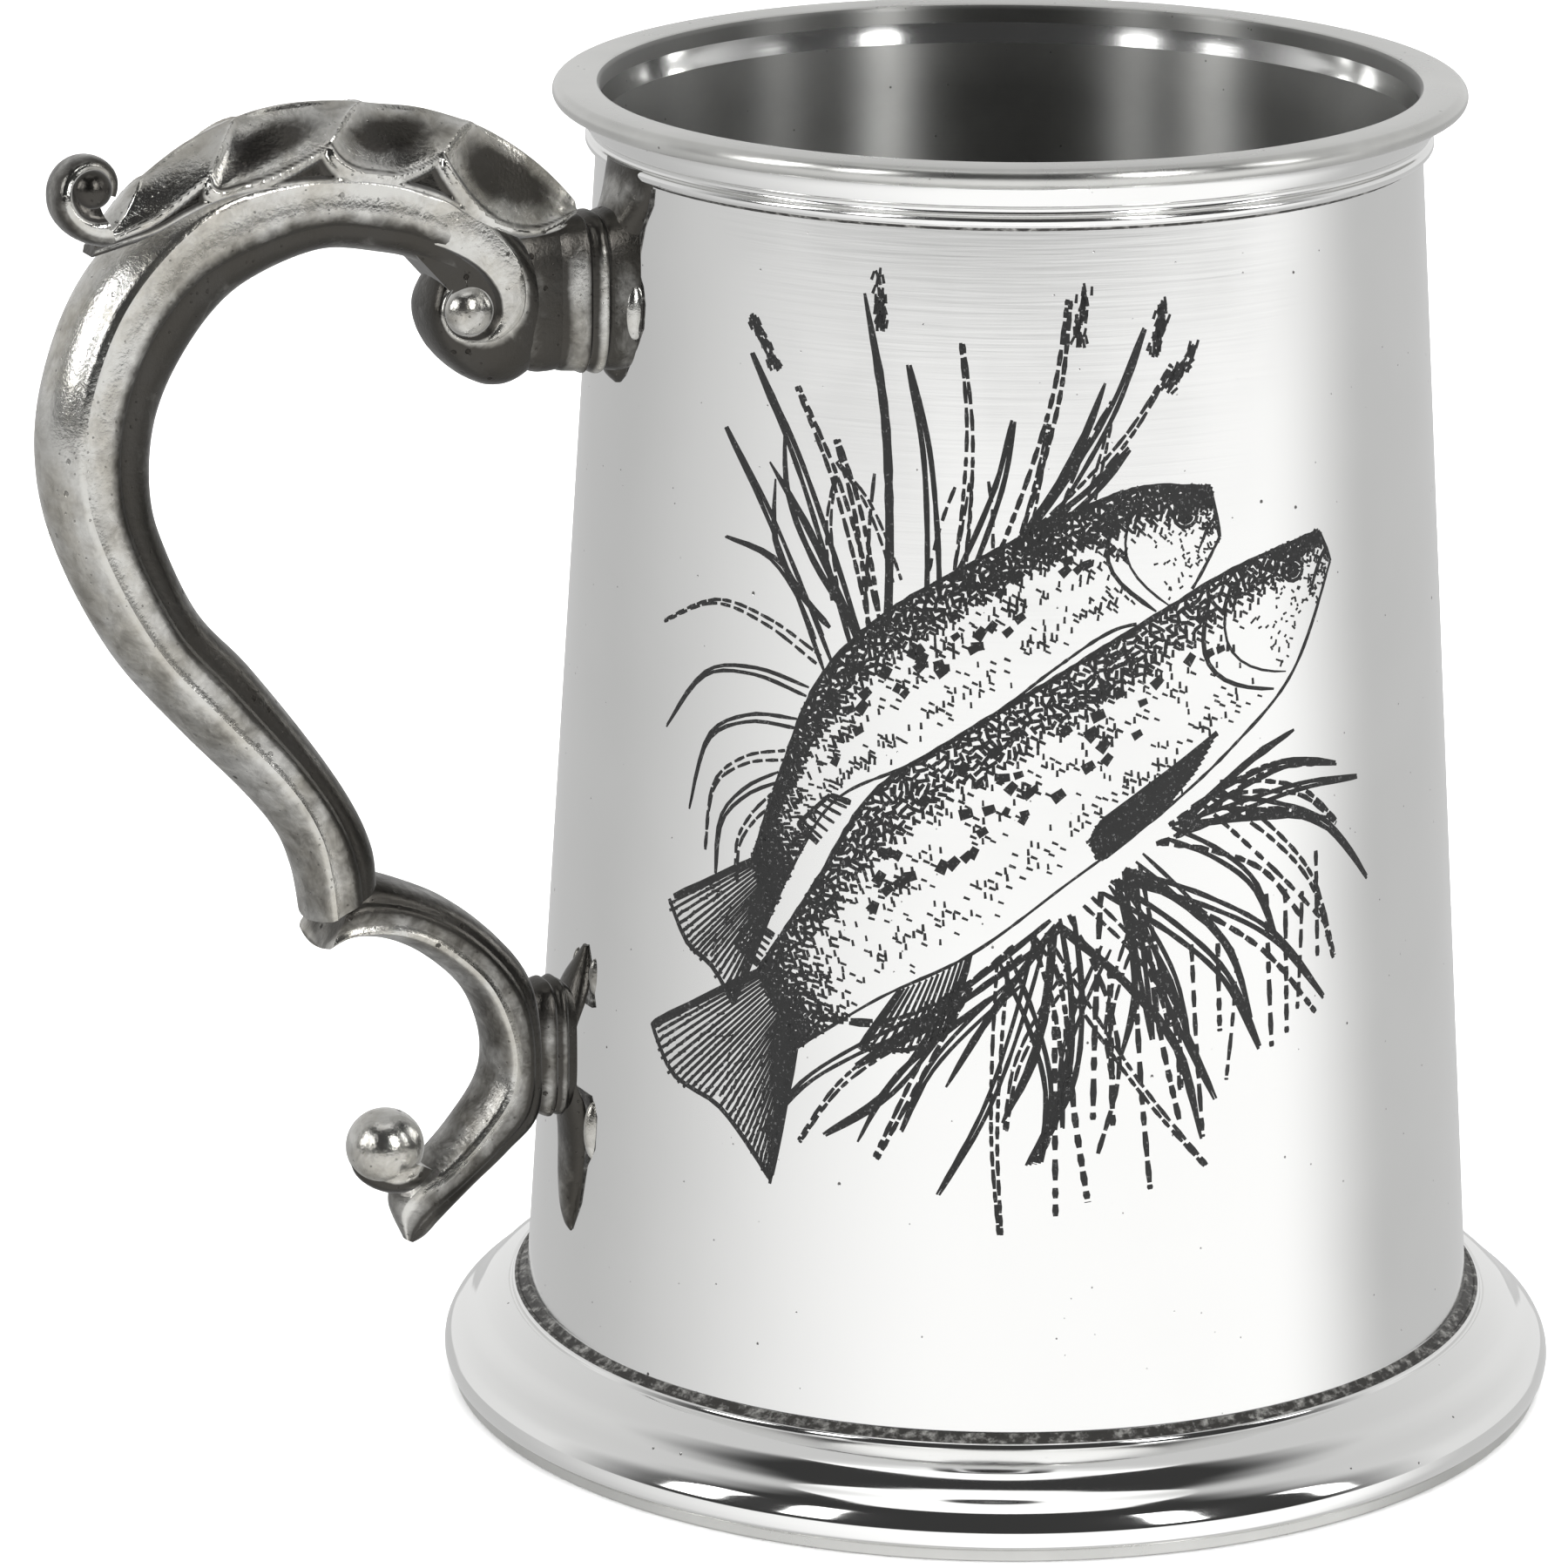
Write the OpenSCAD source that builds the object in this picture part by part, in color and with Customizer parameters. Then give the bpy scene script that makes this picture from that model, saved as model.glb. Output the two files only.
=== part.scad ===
// Pewter tankard with a double scroll handle.
// The origin is on the drum's axis at the table, +Z up, and the handle reaches along -X.

/* [Drum] */
// Height of the flat rim above the table
rim_height = 124; // [123:0.5:125]
// Outer radius of the drum just above the foot
drum_foot_r = 44.35; // [44:0.05:44.6]
// Outer radius of the drum under the rim
drum_top_r = 37.3; // [37.1:0.05:37.5]
// Thickness of the drum's wall
wall = 1.2; // [0.9:0.1:1.4]
// Thickness of the disc that closes the drum
floor_thick = 1.6; // [1.2:0.1:2.4]

/* [Foot] */
// Widest radius of the spread foot
foot_r = 52.5; // [52:0.1:53]
// Thickness of the foot's wall
foot_wall = 1.5; // [1.2:0.1:1.8]
// Height of the plain band that stands on the table
foot_band_height = 1.15; // [0.8:0.05:1.3]

/* [Rim] */
// Outer radius of the lip
lip_r = 41.65; // [41:0.05:42.5]
// Thickness of the lip at its edge
lip_thick = 1.8; // [1.4:0.1:2]
// Outer radius of the moulded band under the lip
band_r = 38.7; // [38.5:0.05:39.5]
// Height of the moulded band
band_height = 4; // [3.6:0.1:4.2]

/* [Handle] */
// How far the strap's outer face bulges at its middle
strap_crown = 2.4; // [1.8:0.1:2.5]
// How far the lower scroll's face bulges at its middle
scroll_crown = 1.4; // [0.5:0.1:1.6]
// Radius of the upper volute's roll
roll_r = 5.4; // [5:0.1:5.6]
// Width of the upper volute's roll
roll_w = 8; // [7.4:0.2:8.4]
// Radius of the domed eye on each cheek of the volute
eye_r = 2.25; // [1.9:0.05:2.5]
// Radius of the ball that ends the lower scroll
ball_r = 3.65; // [3.2:0.05:3.8]
// Radius of the curled end of the thumb leaf
curl_r = 2.95; // [2.6:0.05:3.1]
// How far the two attachment plates stand off the drum
plate_thick = 1.1; // [0.7:0.1:1.3]

/* [Hidden] */

// Segments of a full turn, and how finely the curves of a profile are cut
$fn = 96;
curve_steps = 8;

// Colours of the four finishes
polished_pewter = [0.80, 0.80, 0.79];
satin_pewter = [0.68, 0.68, 0.66];
cast_pewter = [0.60, 0.60, 0.58];
old_solder = [0.16, 0.15, 0.14];

// Heights that the drum's parts share
seam_z = 10;
seam_gap = 0.35;
cove_z = 13.4;
flare_r = 46.2;
drum_bore_r = drum_foot_r - wall;
lip_under_z = rim_height - lip_thick;
band_under_z = lip_under_z - band_height;
throat_r = 37.35;
flare_start_z = band_under_z - 2;

// Outer radius of the drum at a height above its cove
function drum_r(z) =
    drum_top_r + (drum_foot_r - drum_top_r) * (rim_height - z) / (rim_height - cove_z);

// Points from one end of a three-handle curve to the other
function curve(a, b, c, d, steps = curve_steps) = [
    for (i = [0:steps]) let(t = i / steps, s = 1 - t)
        s * s * s * a + 3 * s * s * t * b + 3 * s * t * t * c + t * t * t * d
];

// Points of an arc about a centre
function arc(centre, r, from, to, steps = curve_steps) = [
    for (i = [0:steps]) let(a = from + (to - from) * i / steps)
        centre + r * [cos(a), sin(a)]
];

// ---- Handle rails -------------------------------------------------------------
// The handle lies in one plane. A knot is [outward, up] on the face, the same on the back,
// and half the width, and a smooth curve runs through each list of knots.

// The last number is the share of the crown, which is less where the leaf covers the face.
strap_knots = [
    [56.5, 118.2, 56.6, 111.2, 4.5, 0.25],
    [62.5, 120.4, 61.5, 113.3, 4.7, 0.25],
    [69.5, 121.3, 68.2, 114.3, 4.9, 0.25],
    [77.5, 120.1, 74.6, 112.3, 4.9, 0.4],
    [83.4, 116.4, 78.4, 109.4, 4.9, 0.9],
    [88.2, 110.6, 81.9, 104.4, 4.9, 1],
    [91.2, 102.8, 83.7, 99.8, 4.9, 1],
    [91.6, 95.6, 84.1, 94.6, 4.9, 1],
    [89.6, 88.6, 83.2, 89.8, 4.9, 1],
    [85.2, 80.4, 80.0, 82.8, 4.8, 1],
    [79.6, 73.8, 75.5, 77.3, 4.8, 1],
    [73.4, 66.9, 69.7, 69.7, 4.7, 1],
    [70.4, 62.0, 65.8, 63.9, 4.6, 0.8],
    [69.2, 57.6, 64.0, 59.5, 4.5, 0.6],
    [68.7, 53.4, 63.6, 56.3, 4.5, 0.6]
];

scroll_knots = [
    [68.3, 51.2, 66.0, 54.8, 4.1, 0.8],
    [65.8, 52.0, 63.8, 56.0, 4.3, 1],
    [62.2, 51.5, 60.4, 55.1, 4.3, 1],
    [58.0, 49.4, 56.2, 52.8, 4.2, 1],
    [54.0, 45.6, 51.8, 49.2, 4.1, 1],
    [51.9, 41.4, 48.6, 44.8, 4.0, 1],
    [51.2, 37.4, 47.5, 38.2, 3.9, 1],
    [52.0, 34.2, 47.9, 31.8, 3.8, 1],
    [54.6, 30.8, 50.9, 28.6, 3.6, 1],
    [57.5, 28.0, 54.4, 25.8, 3.3, 1],
    [60.3, 26.1, 57.3, 22.9, 2.7, 0.8],
    [61.4, 23.9, 58.8, 21.1, 1.7, 0.5],
    [60.4, 20.7, 59.7, 20.3, 0.5, 0.1]
];

// The leaf follows the strap and runs on over the volute:
// [outward, up, rise, half width, how far the strap under it bulges]
leaf_knots = [
    [86.0, 117.2, 2.0, 2.6, 0.2],
    [84.2, 118.2, 2.9, 3.6, 0.3],
    [82.2, 119.2, 3.7, 4.2, 0.4],
    [80.0, 120.1, 4.2, 4.5, 0.4],
    [77.5, 120.8, 4.6, 4.7, 0.4],
    [73.6, 121.3, 5.3, 4.7, 0.6],
    [69.5, 121.3, 5.9, 4.7, 0.6],
    [66.0, 121.1, 6.0, 4.7, 0.6],
    [62.5, 120.4, 6.1, 4.6, 0.6],
    [59.5, 119.4, 6.5, 4.5, 0.6],
    [56.5, 118.2, 6.6, 4.3, 0.6],
    [53.0, 116.8, 6.4, 4.0, 0],
    [49.8, 115.9, 5.7, 3.6, 0],
    [46.8, 115.3, 4.4, 3.0, 0],
    [44.2, 115.3, 2.0, 2.2, 0]
];

strap_rings = 42;
scroll_rings = 30;
leaf_rings = 34;
face_steps = 6;
back_steps = 12;
leaf_steps = 12;
back_fullness = 0.75;
strap_half_w = 4.9;
leaf_gap = 0.04;

// A smooth curve through knots, read at a place between 0 and 1
function spline(knots, u) =
    let(
        last = len(knots) - 1,
        i = min(floor(u * last), last - 1),
        t = u * last - i,
        p0 = knots[max(i - 1, 0)],
        p1 = knots[i],
        p2 = knots[i + 1],
        p3 = knots[min(i + 2, last)]
    )
    0.5 * (2 * p1 + (p2 - p0) * t + (2 * p0 - 5 * p1 + 4 * p2 - p3) * t * t
        + (3 * p1 - p0 - 3 * p2 + p3) * t * t * t);

// A place in the handle's plane, moved sideways, as a point in space
function place(p, w) = [-p[0], w, p[1]];

// One cross-section: a crowned face, then a half-round back
function section(k, crown) =
    let(
        face = [k[0], k[1]],
        back = [k[2], k[3]],
        out = (face - back) / norm(face - back),
        bulge = crown * k[5]
    )
    concat(
        [for (i = [0:face_steps]) let(c = 1 - 2 * i / face_steps)
            place(face + out * bulge * (1 - c * c), k[4] * c)],
        [for (i = [1:back_steps - 1]) let(a = 180 * i / back_steps)
            place(face + (back - face) * pow(sin(a), back_fullness), -k[4] * cos(a))]
    );

// One cross-section of the leaf: an underside that sits on the strap, then a round top
function leaf_section(k, slope) =
    let(
        foot = [k[0], k[1]],
        up = [-slope[1], slope[0]]
    )
    concat(
        [for (i = [0:face_steps]) let(w = k[3] * (1 - 2 * i / face_steps))
            place(foot + up * (k[4] * (1 - pow(w / strap_half_w, 2)) + leaf_gap), w)],
        [for (i = [1:leaf_steps - 1]) let(a = 180 * i / leaf_steps)
            place(foot + up * k[2] * sin(a), -k[3] * cos(a))]
    );

// Closed surface through a list of rings that all have the same number of points
module loft(rings) {
    n = len(rings[0]);
    last = len(rings) - 1;
    points = [for (r = rings) for (p = r) p];
    sides = [for (j = [0:last - 1]) for (i = [0:n - 1]) let(k = (i + 1) % n)
        each [[j * n + i, (j + 1) * n + i, (j + 1) * n + k], [j * n + i, (j + 1) * n + k, j * n + k]]];
    caps = [[for (i = [0:n - 1]) i], [for (i = [n - 1:-1:0]) last * n + i]];
    polyhedron(points, concat(sides, caps), convexity = 8);
}

// ---- Drum ---------------------------------------------------------------------

module body_drum() {
    outer = concat(
        [[flare_r, seam_z]],
        curve([flare_r, seam_z], [45.3, 11.2], [44.5, 12.2], [drum_r(cove_z + 0.6), cove_z + 0.6]),
        [[drum_r(lip_under_z), lip_under_z]]
    );
    inner = [
        [throat_r, lip_under_z],
        [throat_r - 0.15, lip_under_z - 1.5],
        [drum_r(flare_start_z) - wall, flare_start_z],
        [drum_bore_r, cove_z],
        [drum_bore_r, seam_z]
    ];
    neck = [[throat_r + 1, lip_under_z], [drum_r(flare_start_z), flare_start_z]];
    color(polished_pewter)
    rotate_extrude()
    polygon(concat(
        [for (p = outer) if (p[1] < flare_start_z) p],
        [neck[1], [drum_r(band_under_z), band_under_z], neck[0]],
        inner
    ));
}

module floor_disc() {
    color(satin_pewter)
    translate([0, 0, seam_z])
    cylinder(r = drum_bore_r, h = floor_thick);
}

module floor_solder() {
    size = 0.9;
    top = seam_z + floor_thick;
    color(satin_pewter)
    rotate_extrude()
    polygon(concat(
        [[drum_bore_r, top]],
        [for (p = arc([drum_bore_r - size, top + size], size, 0, -90)) p]
    ));
}

// ---- Foot ---------------------------------------------------------------------

function foot_outline() =
    let(nose = 2.1, nose_z = 2.4)
    concat(
        curve([flare_r, seam_z - seam_gap], [47.9, 7.6], [50.1, 5.9], [51.75, 3.85]),
        arc([foot_r - nose, nose_z], nose, 36, -38)
    );

module foot_skirt() {
    outer = foot_outline();
    inward = foot_wall * [-0.7, -0.72];
    inner = [for (i = [curve_steps:-1:0]) outer[i] + inward];
    color(polished_pewter)
    rotate_extrude()
    polygon(concat(
        outer,
        [[51.75, foot_band_height], [50.2, foot_band_height]],
        inner,
        [[44.2, seam_z - seam_gap]]
    ));
}

module foot_band() {
    inner_r = 48.6;
    color(satin_pewter)
    rotate_extrude()
    polygon([
        [inner_r, 0],
        [51.5, 0],
        [51.75, 0.25],
        [51.75, foot_band_height],
        [inner_r, foot_band_height]
    ]);
}

module foot_solder() {
    inner_r = 43.6;
    outer_r = flare_r - 0.12;
    color(old_solder)
    translate([0, 0, seam_z - seam_gap])
    difference() {
        cylinder(r = outer_r, h = seam_gap);
        translate([0, 0, -1]) cylinder(r = inner_r, h = seam_gap + 2);
    }
}

// ---- Rim ----------------------------------------------------------------------

module rim_lip() {
    edge = lip_thick / 2;
    color(satin_pewter)
    rotate_extrude()
    polygon(concat(
        [[throat_r, lip_under_z], [band_r, lip_under_z]],
        arc([lip_r - edge, lip_under_z + edge], edge, -90, 90),
        arc([throat_r + 0.5, rim_height - 0.5], 0.5, 90, 180)
    ));
}

module neck_band() {
    bead = 0.55;
    top_r = drum_r(band_under_z);
    slope_r = throat_r + 1;
    color(polished_pewter)
    rotate_extrude()
    polygon(concat(
        [[top_r, band_under_z]],
        arc([band_r - bead, band_under_z + bead], bead, -60, 60),
        [[band_r - 0.2, band_under_z + 1.7], [band_r, band_under_z + 2], [band_r, lip_under_z],
         [slope_r, lip_under_z]]
    ));
}

module neck_solder() {
    h = 0.35;
    r = drum_r(band_under_z);
    color(old_solder)
    rotate_extrude()
    polygon([[drum_r(band_under_z - h), band_under_z - h], [r + 0.3, band_under_z], [r, band_under_z]]);
}

// ---- Handle -------------------------------------------------------------------

module handle_strap() {
    color(cast_pewter)
    loft([for (j = [0:strap_rings]) section(spline(strap_knots, j / strap_rings), strap_crown)]);
}

module thumb_leaf() {
    step = 1 / leaf_rings;
    color(cast_pewter)
    loft([for (j = [0:leaf_rings]) let(
            u = j * step,
            ahead = spline(leaf_knots, min(u + step / 2, 1)),
            behind = spline(leaf_knots, max(u - step / 2, 0)),
            run = [behind[0] - ahead[0], behind[1] - ahead[1]],
            k = spline(leaf_knots, u)
        ) leaf_section(k, run / norm(run))]);
}

curl_centre = [-89.1, 0, 121.45];

module leaf_curl() {
    neck_r = 1.5;
    color(cast_pewter)
    union() {
        translate(curl_centre) sphere(r = curl_r);
        hull() {
            translate(curl_centre + [0.4, 0, -1.4]) sphere(r = neck_r, $fn = 24);
            translate([-88.5, 0, 118.2]) sphere(r = neck_r, $fn = 24);
        }
    }
}

collar_s = 46;
roll_centre = [52.0, 106.0];
eye_centre = [55.0, 107.9];

// Outline of the block between the leaf, the roll and the collar
volute_outline = [
    [56.5, 118.1], [56.6, 111.2], eye_centre, roll_centre, [48.6, 102.0],
    [collar_s, 101.6], [collar_s, 115.0], [49.8, 115.6], [53.0, 116.5]
];

// A disc across the handle with rounded edges
module roll(centre, r, half_w, edge) {
    translate([-centre[0], 0, centre[1]])
    rotate([90, 0, 0])
    rotate_extrude()
    polygon(concat(
        [[0, -half_w]],
        arc([r - edge, edge - half_w], edge, -90, 0),
        arc([r - edge, half_w - edge], edge, 0, 90),
        [[0, half_w]]
    ));
}

module upper_volute() {
    cheek = roll_w / 2;
    block_w = roll_w - 0.8;
    eye_roll_r = 2.5;
    eye_rise = 1;
    color(cast_pewter)
    union() {
        translate([0, block_w / 2, 0])
        rotate([90, 0, 0])
        mirror([1, 0, 0])
        linear_extrude(block_w)
        polygon(volute_outline);
        roll(roll_centre, roll_r, cheek, 2.6);
        roll(eye_centre, eye_roll_r, cheek, 1.6);
        for (side = [-1, 1])
            translate([-eye_centre[0], side * (cheek + eye_rise - eye_r), eye_centre[1]])
            sphere(r = eye_r);
    }
}

// A rounded oblong in the plane across the handle
function oblong(s, z_low, z_high, half_w, steps = 20) =
    let(mid = (z_low + z_high) / 2, half_h = (z_high - z_low) / 2, fullness = 0.55)
    [for (i = [0:steps - 1]) let(a = 360 * i / steps, c = cos(a), d = sin(a))
        place([s, mid + half_h * sign(c) * pow(abs(c), fullness)],
              half_w * sign(d) * pow(abs(d), fullness))];

// Everything inside the drum's outer surface, grown by an allowance
module drum_core(allowance) {
    rotate_extrude()
    polygon([
        [0, 0],
        [drum_r(0) + allowance, 0],
        [drum_r(rim_height) + allowance, rim_height],
        [0, rim_height]
    ]);
}

// A layer that hugs the drum between two allowances, cut from a half outline of [sideways, up] points
module shield(half_outline, from, to) {
    count = len(half_outline);
    outline = concat(
        half_outline,
        [for (i = [count - 2:-1:1]) [-half_outline[i][0], half_outline[i][1]]]
    );
    reach = 50;
    intersection() {
        difference() {
            drum_core(to);
            drum_core(from);
        }
        rotate([90, 0, -90])
        linear_extrude(reach)
        polygon(outline);
    }
}

// The solder is a thin layer on the drum, and the plate lies on it
solder_from = 0.02;
solder_to = 0.22;
plate_from = 0.24;

upper_shield = [
    [0, 99.4], [1, 100.2], [2.9, 103.1], [3.9, 105.0], [3.9, 107.2], [3.4, 108.7],
    [2.5, 109.8], [2.5, 111.4], [3.1, 114.0], [4.4, 116.2], [4.5, 117.7], [0, 117.7]
];
lower_shield = [
    [0, 19.4], [1.6, 22.4], [2.3, 26.2], [3.6, 28.2], [3.6, 31.3], [2.4, 33.0], [0, 33.0]
];
prong_shield = [[0, 41.4], [2.2, 41.4], [1.4, 43.4], [0.9, 45.2], [0, 46.8]];

module upper_collar() {
    color(cast_pewter)
    difference() {
        loft([
            oblong(collar_s, 101.4, 115.2, 3.8),
            oblong(44.6, 101.2, 115.2, 3.8),
            oblong(43.1, 100.6, 115.2, 4.1),
            oblong(42.6, 100.9, 115.0, 3.7),
            oblong(42.1, 100.9, 115.0, 3.7),
            oblong(41.6, 100.6, 115.2, 4.1),
            oblong(37.5, 100.9, 115.2, 4.0)
        ]);
        drum_core(plate_thick + 0.02);
    }
}

module upper_plate() {
    color(cast_pewter)
    shield(upper_shield, plate_from, plate_thick);
}

module upper_solder() {
    color(old_solder)
    shield(upper_shield, solder_from, solder_to);
}

module lower_scroll() {
    color(cast_pewter)
    difference() {
        loft([for (j = [0:scroll_rings]) let(k = spline(scroll_knots, j / scroll_rings))
            section(k, scroll_crown)]);
        translate(ball_centre) sphere(r = ball_r + 0.02);
    }
}

ball_centre = [-62.4, 0, 30.2];

module scroll_ball() {
    color(cast_pewter)
    translate(ball_centre)
    sphere(r = ball_r);
}

module lower_collar() {
    color(cast_pewter)
    difference() {
        loft([
            oblong(48.6, 32.6, 43.0, 2.2),
            oblong(47.3, 31.4, 44.0, 3.1),
            oblong(46.6, 31.0, 44.2, 3.3),
            oblong(46.2, 31.3, 43.9, 2.9),
            oblong(45.7, 31.3, 43.9, 2.9),
            oblong(45.3, 31.0, 44.2, 3.3),
            oblong(42, 29.8, 45.0, 3.4)
        ]);
        drum_core(plate_thick + 0.02);
        scroll_back();
        bracket_bow();
    }
}

// The round back of the lower scroll where the collar is cast against it
module scroll_back() {
    bend_r = 25.6;
    back_r = 4.4;
    translate([-77.2, 0, 37.6])
    rotate([90, 0, 0])
    rotate_extrude()
    translate([bend_r, 0])
    circle(r = back_r);
}

// The bracket bows off the drum between its upper prong and its lower leaf
module bracket_bow() {
    bow_r = 4.6;
    reach = 20;
    translate([-40, reach / 2, 37.2])
    rotate([90, 0, 0])
    cylinder(r = bow_r, h = reach);
}

module lower_plate() {
    color(cast_pewter)
    union() {
        shield(lower_shield, plate_from, plate_thick);
        shield(prong_shield, plate_from, plate_thick);
    }
}

module lower_solder() {
    color(old_solder)
    union() {
        shield(lower_shield, solder_from, solder_to);
        shield(prong_shield, solder_from, solder_to);
    }
}

body_drum();
floor_disc();
floor_solder();
foot_skirt();
foot_band();
foot_solder();
rim_lip();
neck_band();
neck_solder();
handle_strap();
thumb_leaf();
leaf_curl();
upper_volute();
upper_collar();
upper_plate();
upper_solder();
lower_scroll();
scroll_ball();
lower_collar();
lower_plate();
lower_solder();
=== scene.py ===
"""The finish and fine shape of a pewter tankard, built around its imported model."""

import math
import random

import bmesh
import bpy
from mathutils import Matrix, Vector


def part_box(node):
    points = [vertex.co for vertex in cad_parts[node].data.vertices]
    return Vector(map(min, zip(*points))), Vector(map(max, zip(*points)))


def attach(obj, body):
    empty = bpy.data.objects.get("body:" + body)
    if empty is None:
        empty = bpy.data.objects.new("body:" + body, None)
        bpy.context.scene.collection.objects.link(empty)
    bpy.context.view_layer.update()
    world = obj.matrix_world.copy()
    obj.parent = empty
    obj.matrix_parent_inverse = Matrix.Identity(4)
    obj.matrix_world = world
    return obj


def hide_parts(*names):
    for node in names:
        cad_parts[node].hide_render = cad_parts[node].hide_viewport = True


bl_info = {
    "name": "Pewter Tankard",
    "version": (1, 0, 0),
    "blender": (4, 5, 0),
    "location": "3D View > Sidebar > Tankard",
    "description": "Builds the fine shape, the engraving and the finish of a pewter tankard",
    "category": "Add Mesh",
}

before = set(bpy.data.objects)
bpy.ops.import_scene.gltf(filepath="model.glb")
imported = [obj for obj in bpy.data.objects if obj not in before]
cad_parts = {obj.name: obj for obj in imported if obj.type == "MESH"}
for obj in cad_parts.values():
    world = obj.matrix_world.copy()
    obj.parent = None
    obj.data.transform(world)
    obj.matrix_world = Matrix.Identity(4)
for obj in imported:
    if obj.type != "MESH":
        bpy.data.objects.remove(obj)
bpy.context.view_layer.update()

MM = 0.001
BODY = "root"
# The vertex attribute that darkens the cast pewter: partly patina in its hollows, partly painted
# shade, and where it is low a painted highlight
SHADE_AND_PATINA = "shade_and_patina"

LATHE_STEPS = 256
MERGE_DISTANCE = 1e-4

# Millimetres: how far the seam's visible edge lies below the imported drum's lowest point, the
# bore of the lip, and the holes in the foot and in the standing band
SEAM_DROP = 0.8
THROAT_RADIUS = 37.35
SKIRT_BORE = 44.3
STAND_BORE = 48.6

# The camera: its turn round the tankard, distance from its axis, height, aim, roll and lens
VIEW_TURN = math.radians(26.7)
VIEW_DISTANCE = 0.6704
VIEW_HEIGHT = 0.2535
VIEW_PITCH = 0.2853
VIEW_YAW = -0.0303
VIEW_ROLL = 0.0035
VIEW_LENS = 171.41


# ---- Sizes and colours ---------------------------------------------------------------


def high(node):
    """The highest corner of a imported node, in metres."""
    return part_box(node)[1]


def low(node):
    """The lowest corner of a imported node, in metres."""
    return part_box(node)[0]


def length(name, description, default):
    return bpy.props.FloatProperty(
        name=name, description=description, default=default, min=0, precision=5, unit="LENGTH"
    )


def colour(name, description, default):
    return bpy.props.FloatVectorProperty(
        name=name, description=description, default=default, min=0, max=1, size=3, subtype="COLOR"
    )


def factor(name, description, default):
    return bpy.props.FloatProperty(
        name=name, description=description, default=default, min=0, max=1, subtype="FACTOR"
    )


class TankardSizes(bpy.types.PropertyGroup):
    """The lengths that a maker would change"""

    rim_height: length("Rim Height", "Height of the rim above the table", high("rim_lip").z)
    lip_radius: length("Lip Radius", "Outer radius of the lip", high("rim_lip").x)
    lip_underside: length("Lip Underside", "Height of the lip's underside", low("rim_lip").z)
    band_radius: length("Band Radius", "Outer radius of the moulding", high("neck_band").x)
    band_underside: length("Band Underside", "Height of the moulding's foot", low("neck_band").z)
    foot_radius: length("Foot Radius", "Widest radius of the foot", high("foot_skirt").x)
    flare_radius: length("Seam Radius", "Outer radius of the seam at the foot", high("body_drum").x)
    seam_height: length("Seam Height", "Height of the seam at the foot", low("body_drum").z)
    base_radius: length("Base Radius", "Radius of the standing band", high("foot_band").x)
    base_height: length("Base Height", "Height of the standing band", high("foot_band").z)
    floor_radius: length("Floor Radius", "Radius of the floor inside", high("floor_disc").x)
    wall: length("Wall", "Thickness of the drum's wall", 0.0012)
    engraving_lift: length("Engraving Lift", "How far the black filling stands proud", 0.00003)


class TankardFinish(bpy.types.PropertyGroup):
    """The colours and the wear that a maker would change"""

    polished: colour("Polished Pewter", "Colour of the drum and foot", (0.80, 0.80, 0.79))
    cast: colour("Cast Pewter", "Colour of the handle", (0.56, 0.555, 0.53))
    turned: colour("Turned Pewter", "Colour of the inside and the lip", (0.62, 0.62, 0.60))
    # The patina colour is also the colour of the handle's painted shade
    patina: colour("Patina", "Colour of the dark in the recesses", (0.035, 0.032, 0.028))
    solder: colour("Solder", "Colour of the old solder", (0.06, 0.058, 0.055))
    filling: colour("Engraving", "Colour of the black in the engraved lines", (0.006, 0.006, 0.006))
    # How far the handle's patina and painted shade go towards the patina colour
    patina_and_shade_depth: factor("Patina Depth", "How dark the recesses of the handle are", 0.95)
    pitting: factor("Pitting", "How many pits the surfaces have", 0.6)


# ---- Curves and meshes ---------------------------------------------------------------


def arc(centre, radius, start, end, steps=10):
    """Points of an arc, its angles in degrees from the first axis."""
    turns = [math.radians(start + (end - start) * i / steps) for i in range(steps + 1)]
    return [(centre[0] + radius * math.cos(t), centre[1] + radius * math.sin(t)) for t in turns]


def bend(a, b, c, d, steps=12):
    """Points of a curve that leaves a towards b and reaches d from c."""
    points = []
    for i in range(steps + 1):
        t = i / steps
        s = 1 - t
        weights = (s * s * s, 3 * s * s * t, 3 * s * t * t, t * t * t)
        points.append(tuple(sum(w * p[k] for w, p in zip(weights, (a, b, c, d))) for k in (0, 1)))
    return points


def spline(knots, share):
    """The place at a share of the way along a smooth curve through knots."""
    last = len(knots) - 1
    i = min(int(share * last), last - 1)
    t = share * last - i
    p0, p1, p2, p3 = (knots[min(max(k, 0), last)] for k in (i - 1, i, i + 1, i + 2))
    return [
        0.5 * (2 * b + (c - a) * t + (2 * a - 5 * b + 4 * c - d) * t * t
               + (3 * b - a - 3 * c + d) * t ** 3)
        for a, b, c, d in zip(p0, p1, p2, p3)
    ]


def smooth(low_end, high_end, value):
    """0 below the low end, 1 above the high end, and a soft step between them."""
    t = min(max((value - low_end) / (high_end - low_end), 0), 1)
    return t * t * (3 - 2 * t)


def bump(centre, width, value):
    """1 at the centre, falling off to both sides."""
    return math.exp(-(((value - centre) / width) ** 2))


def at(outward, up, across=0.0):
    """A place in the handle's plane, moved sideways, in millimetres."""
    return Vector((-outward, across, up))


def lathe(profile):
    """Spins a closed profile of (radius, height) points round the upright axis."""
    bm = bmesh.new()
    verts = [bm.verts.new((r, 0, z)) for r, z in profile]
    edges = [bm.edges.new((verts[i - 1], verts[i])) for i in range(len(verts))]
    bmesh.ops.spin(bm, geom=verts + edges, axis=(0, 0, 1), cent=(0, 0, 0),
                   angle=math.tau, steps=LATHE_STEPS, use_merge=True)
    return bm


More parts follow.
